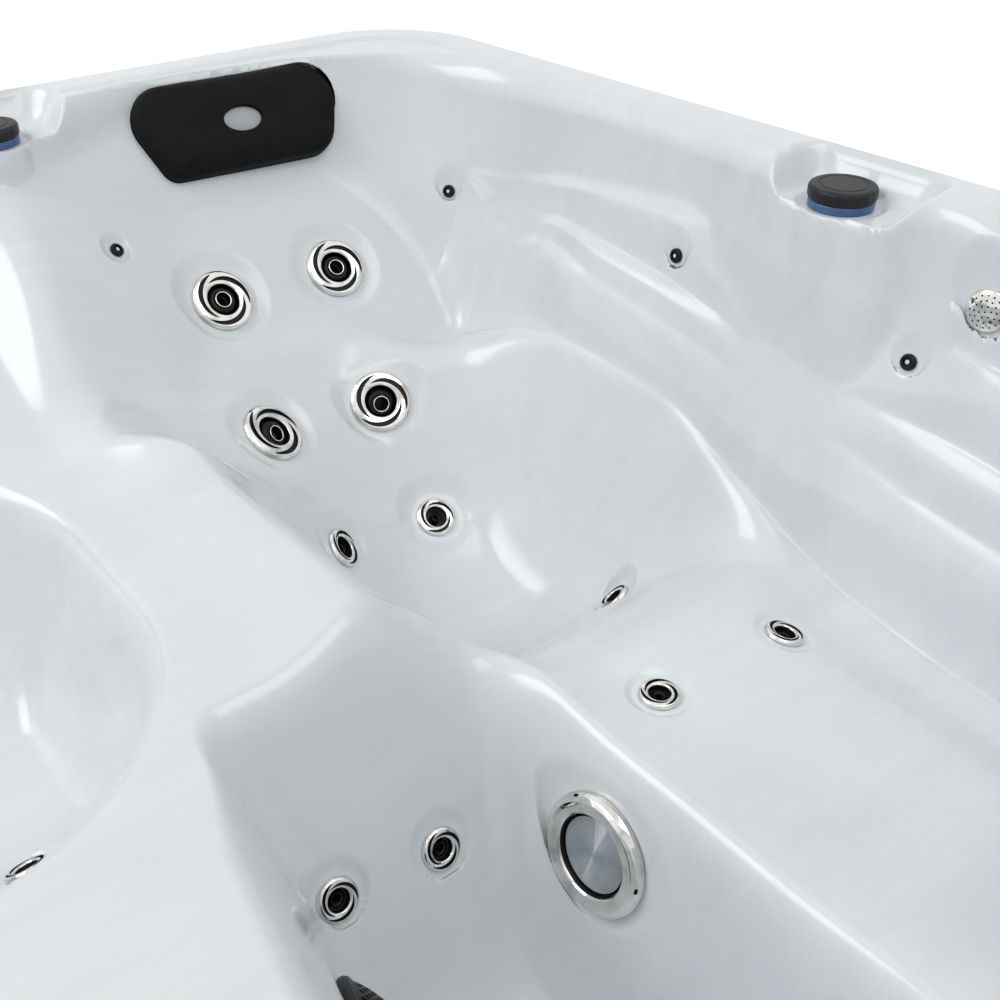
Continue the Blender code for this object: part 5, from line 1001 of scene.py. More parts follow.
def add_node(tree, kind, inputs=(), **settings):
    node = tree.nodes.new(kind)
    for key, value in settings.items():
        setattr(node, key, value)
    set_inputs(node, dict(inputs))
    return node


def set_inputs(shader, inputs):
    for key, value in inputs.items():
        shader.inputs[key].default_value = value


def object_place(tree, scale=(1, 1, 1), turn=(0, 0, 0)):
    """Object coordinates, scaled and turned."""
    coordinates = tree.nodes.new("ShaderNodeTexCoord")
    mapping = add_node(tree, "ShaderNodeMapping", {"Scale": scale, "Rotation": turn})
    tree.links.new(coordinates.outputs["Object"], mapping.inputs["Vector"])
    return mapping.outputs["Vector"]


def noise(tree, place, scale, detail=4.0, rough=0.5, bend=0.0):
    node = add_node(tree, "ShaderNodeTexNoise",
                    {"Scale": scale, "Detail": detail, "Roughness": rough, "Distortion": bend})
    tree.links.new(place, node.inputs["Vector"])
    return node.outputs["Fac"]


def colour_ramp(tree, value, stops):
    node = tree.nodes.new("ShaderNodeValToRGB")
    ramp_node = node.color_ramp
    for k, (at, colour) in enumerate(stops):
        element = ramp_node.elements[k] if k < 2 else ramp_node.elements.new(at)
        element.position = at
        element.color = (*colour, 1)
    tree.links.new(value, node.inputs["Fac"])
    return node.outputs["Color"]


def tinted(tree, shader, value, stops):
    tree.links.new(colour_ramp(tree, value, stops), shader.inputs["Base Color"])


def mixed(tree, share, a, b, kind="MIX"):
    node = add_node(tree, "ShaderNodeMix", data_type="RGBA", blend_type=kind)
    for key, value in (("Factor", share), ("A", a), ("B", b)):
        socket = node.inputs[key]
        if isinstance(value, (float, int)):
            socket.default_value = value
        elif isinstance(value, tuple):
            socket.default_value = (*value, 1)
        else:
            tree.links.new(value, socket)
    return node.outputs["Result"]


def ranged(tree, value, low, high, start=0.0, end=1.0):
    node = add_node(tree, "ShaderNodeMapRange",
                    {"From Min": start, "From Max": end, "To Min": low, "To Max": high})
    tree.links.new(value, node.inputs["Value"])
    return node.outputs["Result"]


def bumped(tree, shader, height, strength, distance):
    node = add_node(tree, "ShaderNodeBump", {"Strength": strength, "Distance": distance})
    tree.links.new(height, node.inputs["Height"])
    tree.links.new(node.outputs["Normal"], shader.inputs["Normal"])
    return node


ACRYLIC_LOW = (0.674, 0.702, 0.718)
ACRYLIC_HIGH = (0.724, 0.748, 0.762)


def acrylic():
    """Pearl white acrylic with faint wispy marbling under a clear gloss."""
    made, tree, shader = node_material("pearl_marble_acrylic")
    broad = noise(tree, object_place(tree, (0.9, 1.8, 1.3), (0.3, 0.2, 0.6)), 1.5, 5, 0.50, 1.0)
    wisps = noise(tree, object_place(tree, (1.0, 5.0, 2.6), (0.5, 0.1, 0.9)), 1.7, 7, 0.58, 1.5)
    veins = noise(tree, object_place(tree, (0.9, 6.0, 3.0), (0.2, 0.7, -0.5)), 2.6, 8, 0.56, 2.0)
    pearl = noise(tree, object_place(tree), 900, 2, 0.5)
    base = colour_ramp(tree, broad, [(0.30, ACRYLIC_LOW), (0.72, ACRYLIC_HIGH)])
    wisp = colour_ramp(tree, wisps, [(0.34, (0.965, 0.968, 0.972)), (0.62, (1.0, 1.0, 1.0))])
    vein = colour_ramp(tree, veins, [(0.42, (0.985, 0.987, 0.99)), (0.52, (1.0, 1.0, 1.0)),
                                     (0.60, (0.978, 0.98, 0.984))])
    colour = mixed(tree, 1.0, base, wisp, "MULTIPLY")
    colour = mixed(tree, 1.0, colour, vein, "MULTIPLY")
    tree.links.new(colour, shader.inputs["Base Color"])
    tree.links.new(ranged(tree, pearl, 0.20, 0.27), shader.inputs["Roughness"])
    set_inputs(shader, {"Specular IOR Level": 0.5, "Coat Weight": 0.3, "Coat Roughness": 0.09})
    return made


def plain(name, colour, rough, metallic=0.0, grain=60, spread=0.12, bump=0.0, shine=0.5):
    """Moulded or metal finish with faint variation in colour and roughness."""
    made, tree, shader = node_material(name)
    place = object_place(tree)
    cloud = noise(tree, place, grain / 8, 4, 0.5)
    fine = noise(tree, place, grain * 10, 3, 0.6)
    low = tuple(c * (1 - spread) for c in colour)
    high = tuple(min(c * (1 + spread), 1) for c in colour)
    tinted(tree, shader, cloud, [(0.3, low), (0.7, high)])
    tree.links.new(ranged(tree, fine, rough * 0.85, rough * 1.15), shader.inputs["Roughness"])
    set_inputs(shader, {"Metallic": metallic, "Specular IOR Level": shine})
    if bump:
        bumped(tree, shader, fine, bump, 0.0004)
    return made


def nickel(name, uneven=0.25):
    """Warm polished nickel, a little wavy, so that what it mirrors breaks into bands; its colour
    runs in dark and bright patches, which are painted reflections.
    """
    made, tree, shader = node_material(name)
    place = object_place(tree)
    cloud = noise(tree, place, 24, 4, 0.55, 0.8)
    wave = noise(tree, place, 46, 2, 0.4, 0.5)
    fine = noise(tree, place, 700, 3, 0.6)
    # Painted reflections: the metal's colour runs in patches from dark brownish grey to bright,
    # standing for the dark and bright things that a mirror finish shows.
    tinted(tree, shader, cloud, [(0.34, (0.52, 0.505, 0.48)), (0.52, (0.80, 0.785, 0.755)),
                                 (0.70, (0.88, 0.87, 0.845))])
    tree.links.new(ranged(tree, fine, 0.05, 0.08), shader.inputs["Roughness"])
    shader.inputs["Metallic"].default_value = 1.0
    bumped(tree, shader, wave, uneven, 0.0012)
    return made


# Fittings

JET_CRESCENTS = 3
CRESCENT_SWEEP = math.radians(142)
CRESCENT_POINTS = 26
SLOT_DEPTH = 0.0034
SLOT_ABOVE = 0.004


def crescent(start, radius, wide=0.165, inner=0.655, outer=0.885, power=0.8):
    """Outline of a slot that runs inward as it turns, pointed at both ends."""
    points = []
    for side in (1, -1):
        for k in range(CRESCENT_POINTS):
            t = k / CRESCENT_POINTS if side > 0 else 1 - k / CRESCENT_POINTS
            turn = start + CRESCENT_SWEEP * t
            middle = outer + (inner - outer) * t ** 0.9
            width = wide * math.sin(math.pi * t ** 0.85) ** power
            away = radius * (middle + side * width / 2 * (0.75 if side > 0 else 1.25))
            points.append((away * math.cos(turn), away * math.sin(turn)))
    return points


def cut_out(name, mesh, cutters):
    """The mesh with the prisms cut out of it."""
    body = linked(name, mesh)
    tool = linked(name + "_tool", cutters)
    cut = body.modifiers.new("cut", "BOOLEAN")
    cut.operation = "DIFFERENCE"
    cut.object = tool
    result = applied(body)
    bpy.data.objects.remove(tool)
    return result


def jet_face(name, radius, bore, floor, crown, phase, chrome_finish, black_finish):
    """A swirl jet: polished face with crescent slots over a black bore with stepped walls."""
    rim = radius * 0.035
    outer = [(bore + 0.0006, crown - 0.0042), (radius - 0.0004, 0.0004), (radius, 0.0010),
             (radius, crown * 0.36), (radius - rim, crown * 0.70),
             (radius - 2.6 * rim, crown * 0.90), (radius * 0.79, crown),
             (bore + 0.0036, crown * 0.90), (bore + 0.0008, crown * 0.80),
             (bore, crown * 0.62), (bore, crown - 0.0042)]
    outer = fillet(outer, (0, 0, 0.001, 0.0018, 0.0018, 0.004, 0.004, 0.0012, 0.0008, 0), 3)
    ring = turned(name + "_face", outer, 72, closed=True)
    cutters = bmesh.new()
    for k in range(JET_CRESCENTS):
        outline = crescent(phase + math.tau * k / JET_CRESCENTS, radius)
        rings = [[(x, y, crown + rise) for x, y in outline] for rise in (-SLOT_DEPTH, SLOT_ABOVE)]
        add_rings(cutters, rings, slot=1)
    tool = smooth_mesh(name + "_slots", cutters)
    finishes = (chrome_finish, black_finish)
    shape = bmesh.new()
    shape.from_mesh(cut_out(name, finished(ring, *finishes), finished(tool, *finishes)))
    well = [(bore, crown * 0.62), (bore - 0.0005, crown * 0.45)]
    if bore < NOZZLE_BALL:
        well += [(bore - 0.0005, floor * 0.30), (bore - 0.0022, floor * 0.34),
                 (bore - 0.0022, floor * 0.62), (bore - 0.0040, floor * 0.66),
                 (bore - 0.0040, floor)]
    else:
        well.append((bore - 0.0005, floor))
    well.append((0, floor))
    add_rings(shape, [circle(r, z, 64) for r, z in well], caps=False, slot=1)
    return shaded(finished(as_mesh(name, shape), *finishes), 30)


# The eyeball nozzle, about the ball's middle as in the CAD
BALL_DROP = 0.012
NOZZLE_BALL = 0.0258
NOZZLE_NECK = 0.0140
NOZZLE_MOUTH = 0.0121
NOZZLE_TOP = 0.0190
NOZZLE_TILT = {"lower_right": math.radians(16), "lower_left": math.radians(16)}
SWIRL_PHASE = math.radians(92)


def nozzle_mesh(chrome_finish, black_finish):
    """Eyeball outlet: black ball and tube with a thin bright ring at the mouth."""
    shape = bmesh.new()
    ball = [(NOZZLE_BALL * math.cos(t), NOZZLE_BALL * math.sin(t))
            for t in np.linspace(-0.6, 0.64, 16)]
    ball += [(0.0172, 0.0166), (NOZZLE_NECK + 0.0009, 0.0160), (NOZZLE_NECK, 0.0150),
             (NOZZLE_NECK, NOZZLE_TOP - 0.0012)]
    add_rings(shape, [circle(r, z, 64) for r, z in ball], caps=False, slot=0)
    ring = fillet([(NOZZLE_NECK, NOZZLE_TOP - 0.0022), (NOZZLE_NECK, NOZZLE_TOP),
                   (NOZZLE_MOUTH, NOZZLE_TOP), (NOZZLE_MOUTH, NOZZLE_TOP - 0.0026)],
                  (0.0009, 0.0009), 5)
    add_rings(shape, [circle(r, z, 64) for r, z in ring], caps=False, slot=1)
    tube = [(NOZZLE_MOUTH, NOZZLE_TOP - 0.0026), (NOZZLE_MOUTH - 0.0004, NOZZLE_TOP - 0.016),
            (NOZZLE_MOUTH - 0.003, NOZZLE_TOP - 0.018), (NOZZLE_MOUTH - 0.003, NOZZLE_TOP - 0.030),
            (0.0, NOZZLE_TOP - 0.030)]
    add_rings(shape, [circle(r, z, 64) for r, z in tube], caps=False, slot=0)
    return finished(smooth_mesh("nozzle_part", shape, 40), black_finish, chrome_finish)


def make_jets(chrome_finish, black_finish):
    finishes = (chrome_finish, black_finish)
    large = jet_face("large_jet", LARGE_JET, 0.0272, -0.0395, 0.0085, SWIRL_PHASE, *finishes)
    medium = jet_face("medium_jet", MEDIUM_JET, 0.0182, -0.012, 0.0066, SWIRL_PHASE, *finishes)
    small = jet_face("small_jet", SMALL_JET, 0.0138, -0.012, 0.0066, SWIRL_PHASE, *finishes)
    core = [(0.0042, -0.012), (0.0092, -0.012), (0.0088, -0.0035), (0.0072, -0.0010),
            (0.0055, -0.0020), (0.0042, -0.006)]
    core = finished(turned("jet_core", core, 32, closed=True), black_finish)
    nozzle = nozzle_mesh(chrome_finish, black_finish)
    for places, mesh in ((LARGE_JETS, large), (MEDIUM_JETS, medium), (SMALL_JETS, small)):
        for name in places:
            body = "jet_face_" + name
            matrix = ROUND["jet_" + name].frame()
            add_piece("swirl_" + name, mesh, chrome_finish, body, [body], matrix)
            if mesh is not large:
                add_piece("core_" + name, core, black_finish, body, (), matrix)
    drop = Matrix.Translation((0, 0, -BALL_DROP))
    for name in LARGE_JETS:
        tilt = drop @ Matrix.Rotation(NOZZLE_TILT.get(name, 0), 4, "X")
        add_piece("eyeball_" + name, nozzle, black_finish, "nozzle_" + name,
                  ["nozzle_" + name], ROUND["jet_" + name].frame() @ tilt)


PIN_LENS = 0.0029


def make_lamp_pins(black_finish, lens_finish):
    profile = fillet([(0.0085, -0.001), (LAMP_PIN, 0), (LAMP_PIN, 0.0040), (0.0092, 0.0058),
                      (0.0066, 0.0058), (0.0060, 0.0030), (0.0034, 0.0030), (0.0030, 0.0052),
                      (0.0, 0.0056)], (0, 0.0012, 0.001, 0.0006, 0, 0, 0.0006), 3)
    shape = bmesh.new()
    add_rings(shape, [circle(r, z, 32) for r, z in profile], caps=False)
    for face in shape.faces:
        face.material_index = int(face.calc_center_median().xy.length < PIN_LENS)
    mesh = finished(smooth_mesh("pin", shape, 40), black_finish, lens_finish)
    for name in ("far", "corner", "middle", "near"):
        node = "lamp_pin_" + name
        add_piece("pin_" + name, mesh, black_finish, ROOT, [node],
                  ROUND[node].frame())


LIGHT_INNER = 0.050
LIGHT_SEEN = 0.0455
LIGHT_RIBS = 18
RIB_HEIGHTS = (0.0, 0.00033, 0.0, -0.00050)
LIGHT_NOTCHES = 3


def make_light(chrome_finish, black_finish, lens_finish):
    """Main light: a broad rolled bright ring with three small notches, and a ribbed lens."""
    frame_matrix = ROUND["light"].frame()
    ring = [(LIGHT_INNER, 0.0005), (MAIN_LIGHT - 0.001, 0.0005), (MAIN_LIGHT, 0.0025),
            (MAIN_LIGHT, 0.0070), (MAIN_LIGHT - 0.0035, 0.0125), (MAIN_LIGHT - 0.0090, 0.0158),
            (MAIN_LIGHT - 0.0150, 0.0158), (LIGHT_INNER + 0.0020, 0.0140), (LIGHT_INNER, 0.0120)]
    radii = (0.0005, 0.001, 0.004, 0.006, 0.004, 0.004, 0.001, 0.0015, 0)
    mesh = turned("light_ring_mesh", fillet(ring + [ring[0]], radii, 5)[:-1], 96, closed=True)
    cutters = bmesh.new()
    for k in range(LIGHT_NOTCHES):
        turn = Matrix.Rotation(math.radians(5) + math.tau * k / LIGHT_NOTCHES, 4, "Z")
        rings = [[turn @ Vector((x, y, z)) for x, y in ((0.0700, -0.0036), (0.0728, -0.0036),
                                                        (0.0728, 0.0036), (0.0700, 0.0036))]
                 for z in (0.0100, 0.0170)]
        add_rings(cutters, rings, slot=1)
    tool = finished(smooth_mesh("notches", cutters), chrome_finish, black_finish)
    mesh = cut_out("light_ring_mesh", finished(mesh, chrome_finish, black_finish), tool)
    mesh.set_sharp_from_angle(angle=math.radians(SHARP_ANGLE))
    add_piece("light_ring", mesh, chrome_finish, ROOT, ["light_bezel"], frame_matrix)
    profile = [(LIGHT_INNER - 0.0002, 0.0110), (LIGHT_INNER - 0.0010, 0.0098),
               (LIGHT_INNER - 0.0016, 0.0046), (LIGHT_SEEN + 0.0012, 0.0036),
               (LIGHT_SEEN + 0.0008, 0.0058)]
    steps = LIGHT_RIBS * len(RIB_HEIGHTS)
    for k in range(steps):
        away = LIGHT_SEEN * (1 - k / steps)
        dome = 0.0010 * (1 - (away / LIGHT_SEEN) ** 2)
        profile.append((away, 0.0064 + dome + RIB_HEIGHTS[k % len(RIB_HEIGHTS)]))
    profile.append((0, 0.0074))
    shape = bmesh.new()
    add_rings(shape, [circle(r, z, 96) for r, z in profile], caps=False)
    for face in shape.faces:
        middle = face.calc_center_median()
        if math.hypot(middle.x, middle.y) > LIGHT_SEEN + 0.0002:
            face.material_index = 1
    mesh = finished(smooth_mesh("lens", shape, 50), lens_finish, black_finish)
    add_piece("light_lens_ribbed", mesh, lens_finish, ROOT, ["light_lens"], frame_matrix)


DISC_SIDES = 96
HOLE_SIDES = 8
FILL_SHARES = (0.2, 0.45, 0.7, 0.9)
FILL_SIDES = 36


def dome_disc(name, radius, height, hole_places, hole_radius, wall, finish):
    """A perforated dome made flat with round holes, then bent to its curve."""
    shape = bmesh.new()
    points = [Vector(point[:2]) for point in circle(radius, 0, DISC_SIDES)]
    edges = [(k, (k + 1) % DISC_SIDES) for k in range(DISC_SIDES)]
    for cx, cy in hole_places:
        first = len(points)
        for k in range(HOLE_SIDES):
            turn = math.tau * (k + 0.5) / HOLE_SIDES
            points.append(Vector((cx + hole_radius * math.cos(turn),
                                  cy + hole_radius * math.sin(turn))))
        edges += [(first + k, first + (k + 1) % HOLE_SIDES) for k in range(HOLE_SIDES)]
    for share in FILL_SHARES:
        for k in range(FILL_SIDES):
            turn = math.tau * k / FILL_SIDES
            place = Vector((radius * share * math.cos(turn), radius * share * math.sin(turn)))
            if all((place - Vector(c)).length > hole_radius * 1.25 for c in hole_places):
                points.append(place)
    found = delaunay_2d_cdt(points, edges, [], 1, MERGE_DISTANCE)
    verts = [shape.verts.new((p.x, p.y, height(p.length))) for p in found[0]]
    centres = np.array(hole_places)
    for face in found[2]:
        middle = sum((found[0][i] for i in face), Vector((0, 0))) / len(face)
        nearest = np.min(np.hypot(centres[:, 0] - middle.x, centres[:, 1] - middle.y))
        if nearest > hole_radius * 0.93:
            shape.faces.new([verts[i] for i in face])
    bmesh.ops.recalc_face_normals(shape, faces=shape.faces)
    for face in shape.faces:
        if face.normal.z < 0:
            face.normal_flip()
    made = linked(name + "_flat", as_mesh(name, shape))
    solid = made.modifiers.new("wall", "SOLIDIFY")
    solid.thickness = wall
    solid.offset = -1
    mesh = shaded(applied(made), SHARP_ANGLE)
    mesh.materials.clear()
    return finished(mesh, finish)


def hex_places(pitch, limit):
    """Centres of a hexagonal pattern inside a circle."""
    places = []
    rows = int(limit / pitch) + 2
    for i in range(-rows, rows + 1):
        for j in range(-rows, rows + 1):
            x = pitch * (i + j / 2)
            y = pitch * j * math.sqrt(3) / 2
            if math.hypot(x, y) < limit:
                places.append((x, y))
    return places


def make_suction_cover(black_finish):
    """Domed suction cover with a hexagonal pattern of holes and a solid rim."""
    matrix = ROUND["suction"].frame()
    edge = SUCTION - 0.005

    def height(away):
        return 0.0095 + 0.0280 * (1 - min(away / edge, 1) ** 2.3)

    places = hex_places(0.0086, edge - 0.009)
    mesh = dome_disc("grille", edge, height, places, 0.0031, 0.003, black_finish)
    add_piece("suction_grille", mesh, black_finish, ROOT, ["suction_cover"],
              matrix)
    rim = fillet([(edge - 0.006, 0.0005), (SUCTION, 0.0005), (SUCTION, 0.0065),
                  (edge + 0.0010, 0.0118), (edge - 0.0040, 0.0118), (edge - 0.006, 0.0085)],
                 (0.001, 0.003, 0.003, 0.002), 4)
    mesh = turned("rim", rim, 96, closed=True)
    add_piece("suction_rim", mesh, black_finish, ROOT, (), matrix)
    cup = [(edge - 0.004, 0.004), (0.056, 0.0008), (SUCTION_BARREL, -0.0005),
           (SUCTION_BARREL, -0.050), (0, -0.050)]
    mesh = turned("cup", cup, 48)
    add_piece("suction_body", mesh, black_finish, ROOT, (), matrix)


def make_neck_jet(chrome_finish, black_finish):
    """Neck jet: a small polished dome with rings of holes."""
    matrix = ROUND["neck_jet"].frame()

    def height(away):
        return 0.0035 + 0.0052 * (1 - min(away / NECK_JET, 1) ** 2.2)

    places = [(0.0, 0.0)]
    for away, count in ((0.0075, 6), (0.0140, 12), (0.0202, 16)):
        places += [(away * math.cos(math.tau * (k + 0.25) / count),
                    away * math.sin(math.tau * (k + 0.25) / count)) for k in range(count)]
    mesh = dome_disc("neck", NECK_JET - 0.001, height, places, 0.0013, 0.0014, chrome_finish)
    add_piece("neck_jet_dome", mesh, chrome_finish, ROOT, ["neck_jet_cap"], matrix)
    back = [(NECK_JET - 0.0002, 0.0003), (NECK_JET, 0.0012), (NECK_JET, 0.0030),
            (NECK_JET - 0.0012, 0.0042), (NECK_JET - 0.003, 0.0040)]
    mesh = turned("neck_rim", back, 64, 50)
    add_piece("neck_jet_rim", mesh, chrome_finish, ROOT, (), matrix)
    floor = turned("neck_floor", [(NECK_JET - 0.002, 0.0018), (0, 0.0018)], 32)
    add_piece("neck_jet_body", floor, black_finish, ROOT, (), matrix)


CAP_LOW = 0.0118
CAP_HEIGHT = 0.0195
CAP_SIDES = 144
CAP_FLUTES = 24
FLUTE_DEPTH = 0.0004
FLUTE_RADIUS = 0.0445


def make_valves(black_finish, blue_finish):
    """Diverter caps: black, finely fluted, with a shallow round groove, on a clear blue ring."""
    low = CAP_LOW
    top = low + CAP_HEIGHT
    profile = fillet([(0.0100, low + 0.002), (0.0425, low), (0.0448, low + 0.001),
                      (0.0460, low + 0.004),
                      (0.0460, top - 0.0058), (0.0440, top - 0.0020), (0.0412, top - 0.0010),
                      (0.0340, top - 0.0004), (0.0332, top - 0.0013), (0.0312, top - 0.0013),
                      (0.0304, top - 0.0003), (0.0, top)],
                     (0, 0.001, 0.002, 0.002, 0.003, 0.002, 0, 0.0004, 0.0004, 0), 3)
    shape = bmesh.new()
    rings = []
    for radius, height in profile:
        ring = []
        for k in range(1 if radius == 0 else CAP_SIDES):
            turn = math.tau * k / CAP_SIDES
            away = radius
            if radius > FLUTE_RADIUS:
                away -= FLUTE_DEPTH * max(0.0, math.cos(turn * CAP_FLUTES)) ** 2
            ring.append((away * math.cos(turn), away * math.sin(turn), height))
        rings.append(ring)
    add_rings(shape, rings, caps=False)
    cap = finished(smooth_mesh("cap", shape, 40), black_finish)
    ring = fillet([(0.010, 0.0002), (0.0430, 0.0002), (0.0442, 0.0014), (0.0442, 0.0100),
                   (0.0432, 0.0113), (0.0340, 0.0113), (0.0330, 0.0060), (0.010, 0.0060)],
                  (0.0006, 0.001, 0.001, 0.001, 0.0006, 0.0006), 3)
    base = turned("valve_base", ring, 96, closed=True)
    for name in ("right", "far"):
        matrix = ROUND["valve_" + name].frame()
        add_piece("diverter_cap_" + name, cap, black_finish, "valve_cap_" + name,
                  ["valve_cap_" + name], matrix)
        add_piece("diverter_ring_" + name, base, blue_finish, ROOT,
                  ["valve_ring_" + name], matrix)


# Headrest

PAD_SIDES = 168
PAD_CORNER_STEPS = 24
PAD_WALL = 0.0005
PAD_WINDOW_SHARE = 1.12
PAD_CAP = 0.005
PAD_SHIFT = (0.002, 0.004, 0)
PAD_OPENING = 0.0012
CLOTH_STEPS = 20
CLOTH_PRESSURE = 4


def pillow_outline(grown=0.0, count=PAD_SIDES):
    """Even points round the headrest, wider at its top, moved outward by a distance."""
    half_width = PILLOW_HALF_WIDTH - PAD_WALL
    half_height = PILLOW_HALF_HEIGHT - PAD_WALL
    corners = ((half_width * 0.99, half_height, 0.060), (-half_width * 0.99, half_height, 0.060),
               (-half_width * 0.70, -half_height, 0.028), (half_width * 0.72, -half_height, 0.050))
    points = []
    for k in range(4):
        here = Vector(corners[k][:2])
        a = (Vector(corners[k - 1][:2]) - here).normalized()
        b = (Vector(corners[(k + 1) % 4][:2]) - here).normalized()
        half = a.angle(b) / 2
        radius = corners[k][2]
        centre = here + (a + b).normalized() * radius / math.sin(half)
        start = here + a * radius / math.tan(half) - centre
        end = here + b * radius / math.tan(half) - centre
        first = math.atan2(start.y, start.x)
        last = math.atan2(end.y, end.x)
        if last < first:
            last += math.tau
        for t in np.linspace(first, last, PAD_CORNER_STEPS):
            points.append(centre + Vector((math.cos(t), math.sin(t))) * (radius + grown))
    places = np.array([tuple(point) for point in points + points[:1]])
    away = np.concatenate([[0], np.cumsum(np.linalg.norm(np.diff(places, axis=0), axis=1))])
    wanted = np.linspace(0, away[-1], count + 1)[:-1]
    return np.stack([np.interp(wanted, away, side) for side in places.T], 1)


def pad_frame(name):
    """Frame of a headrest's pad and window, a little above the middle of its seat."""
    return LONG["pillow_" + name].frame() @ Matrix.Translation(PAD_SHIFT)


def pad_rings():
    """Rings of the headrest's pad from its back, over the crown, to the window's pocket."""
    insets = (0.0030, 0.0008, 0.0, 0.0, 0.0004, 0.0016, 0.0046, 0.0092, 0.0160, 0.0250)
    heights = (0.0005, 0.0012, 0.004, 0.018, 0.0240, 0.0288, 0.0330, 0.0358, 0.0374, 0.0384)
    rings = []
    for inset, height in zip(insets, heights):
        rings.append([(x, y, height) for x, y in pillow_outline(-inset)])
    inner = pillow_outline(-insets[-1])
    turns = np.arctan2(inner[:, 1] / PILLOW_HALF_HEIGHT, inner[:, 0] / PILLOW_HALF_WIDTH)
    hole = np.stack([INSERT_HALF_WIDTH * PAD_WINDOW_SHARE * np.cos(turns),
                     INSERT_HALF_HEIGHT * PAD_WINDOW_SHARE * np.sin(turns)], 1)
    for share in (0.12, 0.26, 0.40, 0.54, 0.68, 0.80, 0.89, 0.95, 0.985):
        loop = inner * (1 - share) + hole * share
        crown = heights[-1] + 0.0042 * math.sin(share * math.pi / 2)
        rings.append([(x, y, crown) for x, y in loop])
    for share, height in ((0.985, 0.0420), (0.972, 0.0405), (0.968, 0.0350), (0.968, 0.0300)):
        rings.append([(x * share, y * share, height) for x, y in hole])
    return rings, hole


def swollen(mesh, free):
    """The pad after a short cloth simulation under pressure, its motion capped."""
    pad = linked("pad_form", mesh)
    held = pad.vertex_groups.new(name="held")
    held.add([k for k in range(len(mesh.vertices)) if not free[k]], 1.0, "REPLACE")
    cloth = pad.modifiers.new("swell", "CLOTH")
    settings = cloth.settings
    settings.vertex_group_mass = "held"
    settings.quality = 8
    settings.mass = 0.3
    settings.tension_stiffness = 12
    settings.compression_stiffness = 12
    settings.bending_stiffness = 1.0
    settings.effector_weights.gravity = 0
    settings.use_pressure = True
    settings.uniform_pressure_force = CLOTH_PRESSURE
    scene = bpy.context.scene
    cloth.point_cache.frame_start = 1
    cloth.point_cache.frame_end = CLOTH_STEPS
    for step in range(1, CLOTH_STEPS + 1):
        scene.frame_set(step)
    graph = bpy.context.evaluated_depsgraph_get()
    shown = pad.evaluated_get(graph).data
    count = len(mesh.vertices)
    before = np.zeros(count * 3)
    after = np.zeros(count * 3)
    mesh.vertices.foreach_get("co", before)
    shown.vertices.foreach_get("co", after)
    scene.frame_set(1)
    bpy.data.objects.remove(pad)
    moved = (after - before).reshape(-1, 3)
    length = np.linalg.norm(moved, axis=1, keepdims=True)
    moved *= PAD_CAP * np.tanh(length / PAD_CAP) / np.maximum(length, 1e-9)
    mesh.vertices.foreach_set("co", (before.reshape(-1, 3) + moved).ravel())
    mesh.update()
    return mesh


def make_pillows(skin, insert_finish):
    """Headrests: a soft crowned pad, fuller at the top, with an oval window on a grey insert."""
    rings, hole = pad_rings()
    shape = bmesh.new()
    add_rings(shape, rings)
    pad = smooth_mesh("pad", shape, 180)
    wide = len(rings)
    free = [3 < k // PAD_SIDES < wide - 5 for k in range(wide * PAD_SIDES)]
    pad = swollen(pad, free)
    finished(pad, skin)
    disc = bmesh.new()
    rings = []
    for share, height in ((0.966, 0.0310), (0.964, 0.0330), (0.945, 0.0342), (0.6, 0.0348),
                          (0.3, 0.0350)):
        rings.append([(x * share, y * share, height) for x, y in hole])
    rings.append([(0, 0, 0.0350)])
    add_rings(disc, rings, caps=False)
    insert = finished(smooth_mesh("insert", disc, 50), insert_finish)
    for name in PILLOW_X:
        matrix = pad_frame(name)
        pillow = add_piece("headrest_" + name, pad.copy(), skin, ROOT,
                           ["pillow_" + name], matrix)
        finer = pillow.modifiers.new("finer", "SUBSURF")
        finer.levels = 1
        finer.render_levels = 1
        add_piece("headrest_window_" + name, insert, insert_finish, ROOT,
                  ["pillow_insert_" + name], matrix)


def leatherette(name):
    """Black moulded skin with a fine pebble grain."""
    made, tree, shader = node_material(name)
    place = object_place(tree)
    grain = add_node(tree, "ShaderNodeTexVoronoi", {"Scale": 900, "Randomness": 1.0},
                     feature="SMOOTH_F1")
    tree.links.new(place, grain.inputs["Vector"])
    cloud = noise(tree, place, 18, 4, 0.6)
    fine = noise(tree, place, 1400, 3, 0.7)
    tinted(tree, shader, cloud, [(0.3, (0.0050, 0.0050, 0.0054)), (0.75, (0.0085, 0.0085, 0.0090))])
    tree.links.new(ranged(tree, fine, 0.48, 0.66), shader.inputs["Roughness"])
    height = mixed(tree, 0.35, grain.outputs["Distance"], fine)
    bumped(tree, shader, height, 0.5, 0.0007)
    shader.inputs["Specular IOR Level"].default_value = 0.09
    return made


def lens_material():
    """Ribbed clear lens over a grey reflector."""
    made, tree, shader = node_material("ribbed_lens")
    coordinates = tree.nodes.new("ShaderNodeTexCoord")
    cloud = noise(tree, coordinates.outputs["Object"], 60, 3, 0.5)
    tinted(tree, shader, cloud, [(0.3, (0.25, 0.285, 0.315)), (0.7, (0.31, 0.345, 0.375))])
    set_inputs(shader, {"Roughness": 0.12, "Coat Weight": 0.6, "Coat Roughness": 0.08})
    return made


def blue_material():
    made, tree, shader = node_material("clear_blue_ring")
    cloud = noise(tree, object_place(tree), 50, 3, 0.5)
    tinted(tree, shader, cloud, [(0.3, (0.050, 0.125, 0.29)), (0.7, (0.075, 0.170, 0.38))])
    set_inputs(shader, {"Roughness": 0.16, "Transmission Weight": 0.25})
    return made


# Light, floor and camera

WORLD_STRENGTH = 0.60
WORLD_COLOUR = (0.97, 0.985, 1.0, 1)
WHITE = (1, 1, 1, 1)
FLOOR_COLOUR = (0.80, 0.81, 0.82)
FLOOR_GLOW = 0.50
FLOOR_HALF = 30


